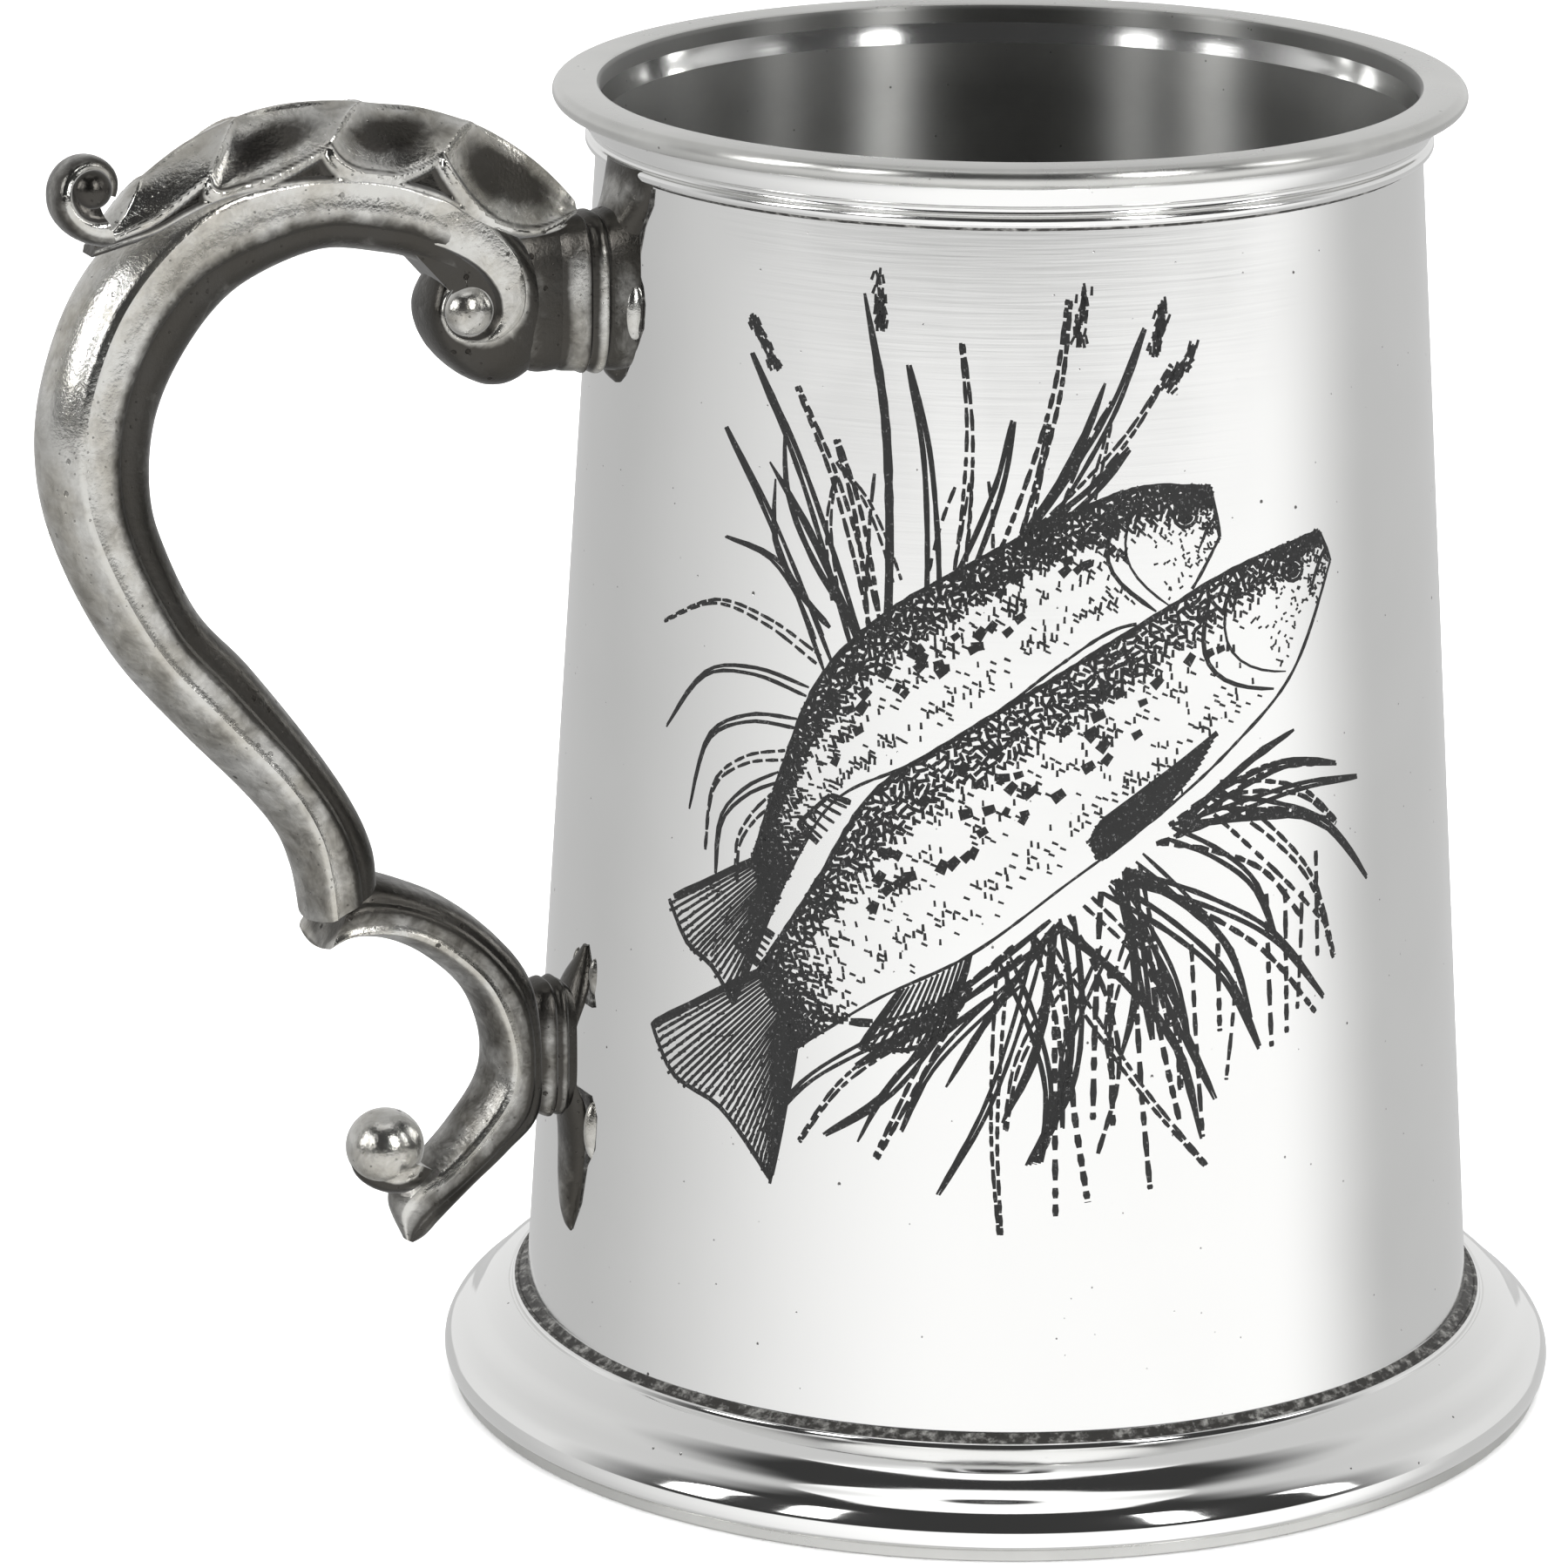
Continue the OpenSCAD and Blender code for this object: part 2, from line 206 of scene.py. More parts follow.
def skin(rings):
    """Lays a grid over a list of rings of (place, amount of patina and painted shade), closes its seam
    and caps its ends.
    """
    bm = bmesh.new()
    rows, columns = len(rings) - 1, len(rings[0])
    bmesh.ops.create_grid(bm, x_segments=rows, y_segments=columns, size=0.5)
    shade_and_patina = bm.verts.layers.float.new(SHADE_AND_PATINA)
    for v in bm.verts:
        i, j = round((v.co.x + 0.5) * rows), round((v.co.y + 0.5) * columns)
        place, shade_and_patina_amount = rings[i][j % columns]
        v.co = place
        v[shade_and_patina] = shade_and_patina_amount
    bmesh.ops.remove_doubles(bm, verts=bm.verts, dist=MERGE_DISTANCE)
    bmesh.ops.holes_fill(bm, edges=[e for e in bm.edges if e.is_boundary], sides=0)
    return bm


def ball(centre, radius, stretch=(1, 1, 1), shade_and_patina=0.0, rings=24):
    """A round ball, squashed or stretched along the three axes."""
    bm = bmesh.new()
    layer = bm.verts.layers.float.new(SHADE_AND_PATINA)
    bmesh.ops.create_uvsphere(bm, u_segments=rings * 2, v_segments=rings, radius=radius)
    bmesh.ops.rotate(bm, verts=bm.verts, matrix=Matrix.Rotation(math.pi / 2, 3, "X"))
    bmesh.ops.scale(bm, verts=bm.verts, vec=stretch)
    bmesh.ops.translate(bm, verts=bm.verts, vec=centre)
    # Every vertex gets the same amount of patina and painted shade
    for v in bm.verts:
        v[layer] = shade_and_patina
    return bm


def join(parts):
    """One bmesh out of several."""
    whole = bmesh.new()
    for part in parts:
        mesh = bpy.data.meshes.new("part")
        part.to_mesh(mesh)
        part.free()
        whole.from_mesh(mesh)
        bpy.data.meshes.remove(mesh)
    return whole


def make_piece(name, bm, materials, slot, nodes=(), sharp=35):
    """Turns a bmesh in millimetres into a finished piece that rides on the tankard.

    Edges over sharp degrees stay crisp. The cast pieces aren't mirrored by the drum.
    """
    bmesh.ops.remove_doubles(bm, verts=bm.verts, dist=MERGE_DISTANCE)
    bmesh.ops.recalc_face_normals(bm, faces=bm.faces)
    for face in bm.faces:
        face.smooth = True
    for edge in bm.edges:
        edge.smooth = edge.calc_face_angle(0) < math.radians(sharp)
    bmesh.ops.scale(bm, verts=bm.verts, vec=(MM, MM, MM))
    mesh = bpy.data.meshes.new(name)
    bm.to_mesh(mesh)
    bm.free()
    piece = bpy.data.objects.new(name, mesh)
    bpy.context.scene.collection.objects.link(piece)
    for material in materials:
        mesh.materials.append(finished(material))
    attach(piece, BODY)
    piece.visible_glossy = not slot.startswith("cast")
    if nodes:
        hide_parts(*nodes)
    return piece


def glide(start, slopes, steps=80):
    """Points of a turned profile that leaves start and whose slope follows (run, degrees)."""
    r, z = start
    points = [start]
    total = slopes[-1][0]
    for i in range(steps):
        run = total * (i + 0.5) / steps
        k = next(k for k in range(1, len(slopes)) if slopes[k][0] >= run)
        (a, low_slope), (b, high_slope) = slopes[k - 1], slopes[k]
        slope = math.radians(low_slope + (high_slope - low_slope) * smooth(a, b, run))
        r += math.sin(slope) * total / steps
        z -= math.cos(slope) * total / steps
        points.append((r, z))
    return points


def drum_radius(sizes, z):
    """Outer radius of the drum's straight wall at a height, all in millimetres."""
    foot_r, top_r = 44.35, 37.3
    foot_z, top_z = 13.4, sizes.rim_height / MM
    return top_r + (foot_r - top_r) * (top_z - z) / (top_z - foot_z)


# ---- Shader graph --------------------------------------------------------------------


class Channel:
    """A shader socket that Python expressions work on: each operator adds one Math node."""

    def __init__(self, graph, socket):
        self.graph = graph
        self.socket = socket

    def combine(self, operation, left, right):
        node = self.graph.add("ShaderNodeMath", {"operation": operation}, {0: left, 1: right})
        return Channel(self.graph, node.outputs[0])

    def __add__(self, other):
        return self.combine("ADD", self, other)

    def __radd__(self, other):
        return self.combine("ADD", other, self)

    def __sub__(self, other):
        return self.combine("SUBTRACT", self, other)

    def __rsub__(self, other):
        return self.combine("SUBTRACT", other, self)

    def __mul__(self, other):
        return self.combine("MULTIPLY", self, other)

    def __rmul__(self, other):
        return self.combine("MULTIPLY", other, self)

    def __pow__(self, other):
        return self.combine("POWER", self, other)


class Graph:
    """The node tree of a material or of the world."""

    def __init__(self, tree):
        self.tree = tree
        tree.nodes.clear()

    def add(self, kind, settings=None, values=None):
        """Adds a node with its settings, then its sockets' values or links."""
        node = self.tree.nodes.new(kind)
        for name, value in (settings or {}).items():
            setattr(node, name, value)
        for name, value in (values or {}).items():
            socket = node.inputs[name]
            if isinstance(value, Channel):
                self.tree.links.new(value.socket, socket)
            else:
                socket.default_value = (*value, 1) if socket.type == "RGBA" else value
        return node

    def get(self, kind, settings=None, values=None, output=0):
        """Adds a node and gives one of its outputs."""
        return Channel(self, self.add(kind, settings, values).outputs[output])

    def place(self):
        return self.get("ShaderNodeTexCoord", output="Object")

    def stretch(self, vector, scale):
        return self.get("ShaderNodeMapping", None, {"Vector": vector, "Scale": scale})

    def noise(self, vector, scale, detail=2.0, roughness=0.5, distortion=0.0):
        return self.get("ShaderNodeTexNoise", None, {
            "Vector": vector, "Scale": scale, "Detail": detail,
            "Roughness": roughness, "Distortion": distortion})

    def step(self, value, start, end, result_low=0.0, result_high=1.0):
        return self.get("ShaderNodeMapRange", {"interpolation_type": "SMOOTHSTEP"}, {
            "Value": value, "From Min": start, "From Max": end,
            "To Min": result_low, "To Max": result_high})

    def pulse(self, value, middle, half):
        """1 at the middle and 0 beyond a half width of it, with soft sides."""
        rise = self.step(value, middle - half, middle - half * 0.5)
        return rise - self.step(value, middle + half * 0.5, middle + half)

    def split(self, vector):
        """The three parts of a vector."""
        node = self.add("ShaderNodeSeparateXYZ", None, {"Vector": vector})
        return [Channel(self, part) for part in node.outputs]

    def mix(self, share, a, b):
        """Colour a where the share is 0 and colour b where it is 1."""
        first, second, result = 6, 7, 2
        return self.get("ShaderNodeMix", {"data_type": "RGBA"},
                        {"Factor": share, first: a, second: b}, result)

    def pits(self, vector, scale, size, share):
        """Sparse round spots: 1 inside a spot and 0 outside."""
        node = self.add("ShaderNodeTexVoronoi", None, {
            "Vector": vector, "Scale": scale, "Randomness": 1.0})
        distance = Channel(self, node.outputs["Distance"])
        chance = self.get("ShaderNodeSeparateColor", None, {
            "Color": Channel(self, node.outputs["Color"])})
        chosen = self.step(chance, 1 - share, 1 - share * 0.7)
        return self.step(distance, size * 0.6, size, 1.0, 0.0) * chosen

    def bumped(self, height, distance, strength):
        return self.get("ShaderNodeBump", None, {
            "Height": height, "Distance": distance, "Strength": strength})


def metal(name, build):
    """A material whose Principled shader's sockets are filled by build."""
    material = bpy.data.materials.new(name)
    material.use_nodes = True
    graph = Graph(material.node_tree)
    shader = graph.add("ShaderNodeBsdfPrincipled", None, {"Metallic": 1.0, **build(graph)})
    output = graph.add("ShaderNodeOutputMaterial")
    graph.tree.links.new(shader.outputs[0], output.inputs[0])
    return material


def polished_pewter(finish):
    """The drum's outside: bright, with hand-polishing waves, hair scratches and small pits."""
    def build(g):
        place = g.place()
        tall = g.noise(g.stretch(place, (1400, 1400, 60)), 1.0, 3.0)
        round_about = g.noise(g.stretch(place, (60, 60, 2200)), 1.0, 2.0)
        clouds = g.noise(place, 60, 3.0)
        pits = g.pits(place, 520, 0.10, 0.10 * finish.pitting)
        specks = g.pits(place, 1500, 0.16, 0.05 * finish.pitting)
        dark = pits + specks * 0.8
        tone = g.mix(g.step(clouds, 0.3, 0.7), [c * 0.97 for c in finish.polished],
                     finish.polished)
        height = tall * 0.25 + round_about * 0.35 + clouds * 0.2 - dark * 2.5
        return {
            "Base Color": g.mix(dark * 0.85, tone, finish.patina),
            "Roughness": 0.11 + g.step(clouds, 0.35, 0.7) * 0.05 + dark * 0.3,
            "Normal": g.bumped(height, 0.00002, 0.35),
        }
    return metal("polished_pewter", build)


def mirror_pewter(finish):
    """The foot: polished like a mirror, with a few fine lines and pits."""
    def build(g):
        place = g.place()
        lines = g.noise(g.stretch(place, (40, 40, 2600)), 1.0, 2.0)
        waves = g.noise(place, 90, 1.0)
        pits = g.pits(place, 640, 0.10, 0.12 * finish.pitting)
        height = lines * 0.12 + waves * 0.8 - pits * 2.0
        return {
            "Base Color": g.mix(pits * 0.8, [c * 1.04 for c in finish.polished],
                                finish.patina),
            "Roughness": 0.05 + waves * 0.03 + pits * 0.3,
            "Normal": g.bumped(height, 0.00002, 0.35),
        }
    return metal("mirror_pewter", build)


def turned_pewter(finish, name="turned_pewter", shade=1.0, roughness=0.26, stretch=0.6):
    """Fine rings from the lathe, dull and a little stained. Stretch draws reflections out, and a shade
    below 1 paints the colour darker as painted shade.
    """
    def build(g):
        place = g.place()
        x, y, z = g.split(place)
        radius = (x * x + y * y) ** 0.5
        across = g.get("ShaderNodeCombineXYZ", None, {
            "X": radius * 3400, "Y": z * 3400, "Z": x * 25 + y * 18})
        rings = g.noise(across, 1.0, 2.0, 0.6)
        coarse = g.noise(g.get("ShaderNodeCombineXYZ", None, {
            "X": radius * 900, "Y": z * 900, "Z": x * 8}), 1.0, 2.0)
        stain = g.noise(place, 90, 4.0, 0.6)
        specks = g.pits(place, 1100, 0.16, 0.10 * finish.pitting)
        tone = g.mix(g.step(stain, 0.35, 0.75), [c * shade * 0.86 for c in finish.turned],
                     [c * shade for c in finish.turned])
        return {
            "Base Color": g.mix(specks * 0.7, tone, finish.patina),
            "Roughness": roughness + g.step(stain, 0.3, 0.8) * 0.08,
            "Anisotropic": stretch,
            "Anisotropic Rotation": 0.25,
            "Normal": g.bumped(rings * 0.8 + coarse * 0.4 - specks, 0.00002, 0.4),
        }
    return metal(name, build)


def shaded_inside_pewter(finish):
    """The inside: rougher than the lip, its colour painted darker as painted shade, with rings that
    draw the light out up and down.
    """
    return turned_pewter(finish, "shaded_inside_pewter", 0.55, 0.46, 0.98)


def cast_pewter(finish, name="satin_pewter", roughness=0.15):
    """The handle: satin, pitted in clusters, dark in its recesses, partly patina and partly painted
    shade, and bright along its creases, partly wear and partly painted highlight.
    """
    def build(g):
        place = g.place()
        # The vertex attribute: patina in the recesses and painted shade, lowest on the creases as a
        # painted highlight
        shade_and_patina = g.get("ShaderNodeAttribute", {"attribute_name": SHADE_AND_PATINA}, output="Fac")
        blotch = g.noise(place, 170, 4.0, 0.62)
        streak = g.noise(place, 520, 3.0, 0.7, 0.6)
        grain = g.noise(place, 2600, 3.0, 0.6)
        cluster = g.step(g.noise(place, 110, 2.0), 0.46, 0.60)
        pits = g.pits(place, 820, 0.24, 0.45 * finish.pitting) * cluster
        pores = g.pits(place, 1900, 0.26, 0.26 * finish.pitting)
        cover = g.step(shade_and_patina + blotch * 0.55 + streak * 0.40 - 0.40, 0.0, 0.58)
        dark = cover * finish.patina_and_shade_depth
        warm = g.mix(g.step(blotch, 0.35, 0.7), finish.cast,
                     [c * k for c, k in zip(finish.cast, (0.90, 0.87, 0.81))])
        # Mixing towards the patina colour paints both the patina and the painted shade
        tone = g.mix(dark, warm, finish.patina)
        spots = pits + pores * 0.5
        height = grain * 0.6 + blotch * 1.6 + streak * 0.6 - pits * 3.0 - pores * 0.8
        return {
            "Base Color": g.mix(spots * 0.85, tone, finish.patina),
            "Roughness": roughness + blotch * 0.12 + dark * 0.14 + pits * 0.2,
            "Normal": g.bumped(height, 0.00007, 0.8),
        }
    return metal(name, build)


def leaf_pewter(finish):
    """The leaf: the handle's metal, rubbed brighter."""
    return cast_pewter(finish, "leaf_pewter", 0.08)


def dark_solder(finish):
    """Dark, lumpy solder in the seams."""
    def build(g):
        place = g.place()
        lumps = g.noise(place, 900, 4.0, 0.65)
        return {
            "Base Color": g.mix(g.step(lumps, 0.45, 0.8), finish.solder, finish.cast),
            "Metallic": 0.9,
            "Roughness": 0.35 + lumps * 0.3,
            "Normal": g.bumped(lumps, 0.00012, 0.8),
        }
    return metal("dark_solder", build)


def engraving_black(finish):
    """The black filling of the engraved lines, with bright flecks where it has worn."""
    def build(g):
        place = g.place()
        fleck = g.step(g.noise(place, 3200, 2.0, 0.7), 0.60, 0.72)
        return {
            "Base Color": g.mix(fleck, finish.filling, (0.16, 0.16, 0.16)),
            "Metallic": fleck * 0.8,
            "Roughness": 0.55 - fleck * 0.2,
            "Normal": g.bumped(g.noise(place, 4200, 2.0), 0.00002, 0.6),
        }
    return metal("engraving_black", build)


MAKERS = {
    "polished_pewter": polished_pewter,
    "mirror_pewter": mirror_pewter,
    "turned_pewter": turned_pewter,
    "shaded_inside_pewter": shaded_inside_pewter,
    "satin_pewter": cast_pewter,
    "leaf_pewter": leaf_pewter,
    "dark_solder": dark_solder,
    "engraving_black": engraving_black,
}


def finished(name):
    """The material of that name, which is made once and then shared."""
    return bpy.data.materials.get(name) or MAKERS[name](bpy.context.scene.tankard_finish)


# ---- Drum, rim and foot --------------------------------------------------------------


class TANKARD_OT_drum(bpy.types.Operator):
    """Spin the tapered drum with its polished outside and its turned inside"""

    bl_idname = "tankard.drum"
    bl_label = "Drum"

    def execute(self, context):
        sizes = context.scene.tankard_sizes
        seam = sizes.seam_height / MM - SEAM_DROP
        top = sizes.lip_underside / MM
        floor_r = sizes.floor_radius / MM
        solder_z = 13.4
        wall = sizes.wall / MM
        neck_z = sizes.band_underside / MM - 2
        foot_r = drum_radius(sizes, seam + 0.5)
        outer = bend((foot_r + 0.5, seam), (foot_r + 0.15, seam), (foot_r, seam + 0.15),
                     (foot_r, seam + 0.5), 6)
        outer += [(drum_radius(sizes, z), z) for z in (12, 20, 40, 60, 80, 100, neck_z, top)]
        inner = bend((THROAT_RADIUS, top), (THROAT_RADIUS - 0.2, top - 1.5),
                     (drum_radius(sizes, neck_z) - wall, neck_z + 3),
                     (drum_radius(sizes, neck_z) - wall, neck_z), 10)
        inner += [(drum_radius(sizes, z) - wall, z) for z in (100, 80, 60, 40, 20)]
        inner += [(floor_r, solder_z), (floor_r, seam)]
        bm = lathe(outer + inner)
        # The inner wall takes the inside's material, its colour painted darker as painted shade
        for face in bm.faces:
            centre = face.calc_center_median()
            depth = drum_radius(sizes, centre.z) - math.hypot(centre.x, centre.y)
            face.material_index = int(depth > wall / 2 and centre.z > seam + 0.5)
        make_piece("drum", bm, ["polished_pewter", "shaded_inside_pewter"], "drum_pewter", ["body_drum"])
        return {"FINISHED"}


class TANKARD_OT_rim(bpy.types.Operator):
    """Spin the flat, round-edged lip and the moulding under it"""

    bl_idname = "tankard.rim"
    bl_label = "Rim"

    def execute(self, context):
        sizes = context.scene.tankard_sizes
        top = sizes.rim_height / MM
        under = sizes.lip_underside / MM
        lip_r = sizes.lip_radius / MM
        edge = (top - under) / 2
        throat_bevel = 0.55
        # Radius inside which the throat takes the inside's darker colour: painted shade
        painted_shade_radius = THROAT_RADIUS + 0.25
        lip = [(THROAT_RADIUS, under), (39.0, under)]
        lip += bend((39.0, under), (40.0, under - 0.05), (40.4, under),
                    (lip_r - edge, under + 0.02), 6)
        lip += arc((lip_r - edge, under + edge), edge, -86, 84, 18)
        lip += [(39.4, top), (38.2, top - 0.03)]
        lip += arc((THROAT_RADIUS + throat_bevel, top - 0.6), throat_bevel, 90, 180, 10)
        bm = lathe(lip)
        for face in bm.faces:
            centre = face.calc_center_median()
            face.material_index = int(math.hypot(centre.x, centre.y) < painted_shade_radius)
        make_piece("lip", bm, ["turned_pewter", "shaded_inside_pewter"], "lip_pewter", ["rim_lip"])
        band_r = sizes.band_radius / MM
        foot_z = sizes.band_underside / MM
        wall_r = drum_radius(sizes, foot_z) - 0.3
        band = [(wall_r, foot_z)]
        band += arc((band_r - 0.62, foot_z + 0.6), 0.6, -80, 62, 12)
        band += bend((band_r - 0.45, foot_z + 1.25), (band_r - 0.55, foot_z + 1.5),
                     (band_r - 0.5, foot_z + 1.8), (band_r - 0.1, foot_z + 1.95), 6)
        band += [(band_r, foot_z + 2.1), (band_r, foot_z + 2.9)]
        band += bend((band_r, foot_z + 2.9), (band_r + 0.05, foot_z + 3.4),
                     (band_r + 0.3, foot_z + 3.8), (band_r + 0.9, under), 8)
        band += [(37.6, under)]
        make_piece("moulding", lathe(band), ["polished_pewter"], "drum_pewter", ["neck_band"])
        return {"FINISHED"}


class TANKARD_OT_foot(bpy.types.Operator):
    """Spin the hollow spread foot and the band that it stands on"""

    bl_idname = "tankard.foot"
    bl_label = "Foot"

    def execute(self, context):
        sizes = context.scene.tankard_sizes
        seam = sizes.seam_height / MM - SEAM_DROP
        flare = sizes.flare_radius / MM
        base_r = sizes.base_radius / MM
        base_z = sizes.base_height / MM
        bead = arc((flare - 0.45, seam - 0.55), 0.3, 120, 0, 6)
        groove = [(flare - 0.1, seam - 0.72), (flare + 0.05, seam - 0.8)]
        skirt = glide((flare + 0.2, seam - 0.72), [
            (0, 68), (0.7, 64), (2.3, 54), (2.8, 45), (3.5, 41), (4.1, 45), (5.0, 53),
            (5.8, 47), (7.1, 25), (7.95, 6), (8.7, -12), (9.5, -50), (9.75, -62)])
        start_r, start_z = skirt[0]
        spread = (sizes.foot_radius / MM - start_r) / (max(r for r, z in skirt) - start_r)
        drop = (start_z - base_z) / (start_z - skirt[-1][1])
        skirt = [(start_r + (r - start_r) * spread, start_z + (z - start_z) * drop)
                 for r, z in skirt]
        outer = [(44.9, seam - 0.45)] + bead + groove + skirt
        thickness = 1.1
        inner = [(50.4, base_z)]
        inner += [(r - thickness, z - thickness) for r, z in reversed(skirt[2:56:6])]
        inner += [(SKIRT_BORE, seam - 1.6), (SKIRT_BORE, seam - 0.6)]
        make_piece("foot", lathe(outer + inner), ["mirror_pewter"], "foot_pewter",
                   ["foot_skirt"])
        wall_r = drum_radius(sizes, seam)
        ring = [(SKIRT_BORE, seam - 0.5), (flare - 0.35, seam - 0.5), (flare - 0.4, seam - 0.25),
                (flare - 0.65, seam - 0.12), (flare - 0.8, seam - 0.2), (flare - 1.0, seam - 0.02),
                (flare - 1.2, seam + 0.02), (wall_r + 0.1, seam + 0.3), (SKIRT_BORE, seam + 0.3)]
        make_piece("foot_seam", lathe(ring), ["dark_solder"], "old_solder", ["foot_solder"])
        edge = 0.3
        band = [(STAND_BORE, 0), (base_r - edge, 0)]
        band += arc((base_r - edge, edge), edge, -80, 0, 5)
        band += [(base_r, base_z - 0.1), (base_r - 0.1, base_z), (STAND_BORE, base_z)]
        make_piece("standing_band", lathe(band), ["turned_pewter"], "lip_pewter",
                   ["foot_band"])
        return {"FINISHED"}


class TANKARD_OT_seams(bpy.types.Operator):
    """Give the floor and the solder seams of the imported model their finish"""

    bl_idname = "tankard.seams"
    bl_label = "Floor and Seams"

    def execute(self, context):
        kinds = {
            # The floor inside takes the inside's darker colour: painted shade
            "shaded_inside_pewter": ("floor_disc", "floor_solder"),
            "dark_solder": ("neck_solder", "upper_solder", "lower_solder"),
        }
        for material, nodes in kinds.items():
            for node in nodes:
                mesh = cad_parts[node].data
                mesh.materials.clear()
                mesh.materials.append(finished(material))
        return {"FINISHED"}


# ---- Handle --------------------------------------------------------------------------

# A knot is (outward, up) of the crease between face and side, the same of the back, half the
# width, how far the face bulges, and where the side's lower crease lies between them.
STRAP_KNOTS = [
    (54.6, 117.6, 56.0, 110.6, 4.3, 0.6, 0.64),
    (58.6, 119.0, 59.0, 112.5, 4.5, 0.6, 0.62),
    (62.5, 120.4, 62.2, 113.5, 4.7, 0.6, 0.62),
    (69.5, 121.3, 68.2, 114.3, 4.9, 0.7, 0.60),
    (77.5, 120.1, 74.6, 112.3, 4.9, 1.1, 0.59),
    (83.4, 116.4, 78.5, 109.3, 4.9, 2.0, 0.50),
    (88.2, 110.6, 82.0, 104.4, 4.9, 2.5, 0.48),
    (91.2, 102.8, 83.8, 99.8, 4.9, 2.4, 0.49),
    (91.6, 95.6, 84.2, 94.4, 4.9, 2.4, 0.50),
    (89.6, 88.6, 83.2, 89.8, 4.9, 2.5, 0.50),
    (85.2, 80.4, 80.0, 82.8, 4.8, 2.6, 0.50),
    (79.6, 73.8, 75.3, 77.4, 4.8, 2.7, 0.50),
    (73.4, 66.9, 69.6, 69.8, 4.7, 2.6, 0.50),
    (70.4, 62.0, 65.8, 63.9, 4.6, 2.1, 0.52),
    (69.2, 57.6, 63.9, 59.5, 4.5, 1.6, 0.54),
    (68.7, 53.6, 63.5, 56.0, 4.4, 1.4, 0.56),
]

SCROLL_KNOTS = [
    (68.9, 51.0, 66.0, 56.6, 4.1, 0.7, 0.60),
    (66.6, 51.9, 64.2, 56.6, 4.3, 0.9, 0.60),
    (62.2, 51.5, 60.4, 55.2, 4.3, 1.3, 0.60),
    (58.0, 49.4, 56.0, 52.9, 4.2, 1.4, 0.60),
    (54.0, 45.6, 51.7, 49.2, 4.1, 1.4, 0.60),
    (51.9, 41.4, 48.5, 44.7, 4.0, 1.4, 0.60),
    (51.2, 37.4, 47.4, 38.2, 3.9, 1.4, 0.60),
    (52.0, 34.2, 47.8, 31.8, 3.8, 1.4, 0.60),
    (54.6, 30.8, 50.8, 28.6, 3.6, 1.4, 0.60),
    (57.5, 28.0, 54.3, 25.7, 3.3, 1.4, 0.60),
    (60.3, 26.1, 57.2, 22.9, 2.7, 1.2, 0.60),
    (61.4, 23.9, 58.7, 21.2, 1.7, 0.8, 0.60),
    (60.5, 20.9, 59.8, 20.5, 0.4, 0.2, 0.60),
]


def strap_ring(knot, extra_darkening):
    """A cross-section: a crowned face, a bulging side between two creases, and a round back. Its
    creases are painted light, partly wear and partly painted highlight, and its lower side and back
    dark, partly patina and partly painted shade.
    """
    face = Vector(knot[0:2])
    back = Vector(knot[2:4])
    half_w, crown, waist = knot[4:7]
    depth = (face - back).length
    out = (face - back) / depth
    edge = min(0.35, half_w * 0.15)
    half = []
    for x in (0, 0.16, 0.32, 0.48, 0.62, 0.75, 0.86, 0.94):
        half.append((half_w * x, crown * (1 - x * x), 0.05 + 0.10 * x ** 6))
    # The crease gets no darkening: partly wear and partly painted highlight
    half.append((half_w - edge * 0.35, -edge * 0.12, 0.0))
    half.append((half_w, -edge, 0.0))
    # The extra darkening goes mostly on the face
    half = [(w, t, shade_and_patina_amount + extra_darkening * (1 - (w / half_w) ** 6)) for w, t, shade_and_patina_amount in half]
    # The side is painted darker towards its lower crease: painted shade, with the extra darkening
    for k in (0.15, 0.32, 0.5, 0.68, 0.84, 0.95):
        side_w = half_w * (1 - 0.035 * math.sin(math.tau * k) - 0.09 * k ** 1.6)
        half.append((side_w, -edge - (waist * depth - edge) * k,
                     0.05 + 0.40 * smooth(0.55, 1, k) + extra_darkening * smooth(0, 0.4, k)))
    # The lower crease is dark: patina in the groove and painted shade
    half.append((half_w * 0.885, -waist * depth, 0.75))
    half.append((half_w * 0.862, -waist * depth - 0.16, 0.85))
    # The back is painted dark: painted shade with patina
    for a in (8, 20, 34, 48, 62, 76, 90):
        turn = math.radians(a)
        half.append((half_w * 0.86 * math.cos(turn) ** 0.85 if a < 90 else 0,
                     -depth * (waist + 0.02 + (0.98 - waist) * math.sin(turn) ** 0.9),
                     0.62 - 0.25 * math.sin(turn)))
    ring = [(face + out * t, w, shade_and_patina_amount) for w, t, shade_and_patina_amount in half]
    ring += [(p, -w, shade_and_patina_amount) for p, w, shade_and_patina_amount in reversed(ring[1:-1])]
    return [(at(p.x, p.y, w), shade_and_patina_amount) for p, w, shade_and_patina_amount in ring]


def sweep(knots, stations, extra_darkening):
    """A strap through its knots, darkened more along it where the given function says."""
    return skin([strap_ring(spline(knots, i / stations), extra_darkening(i / stations))
                 for i in range(stations + 1)])


class TANKARD_OT_strap(bpy.types.Operator):
    """Sweep the long strap of the double scroll handle"""

    bl_idname = "tankard.strap"
    bl_label = "Strap"

    def execute(self, context):
        # The strap is darkened more towards its lower end
        strap = sweep(STRAP_KNOTS, 180, lambda t: 0.18 * smooth(0.5, 0.8, t))
        make_piece("strap", strap, ["satin_pewter"], "cast_pewter", ["handle_strap"])
        return {"FINISHED"}


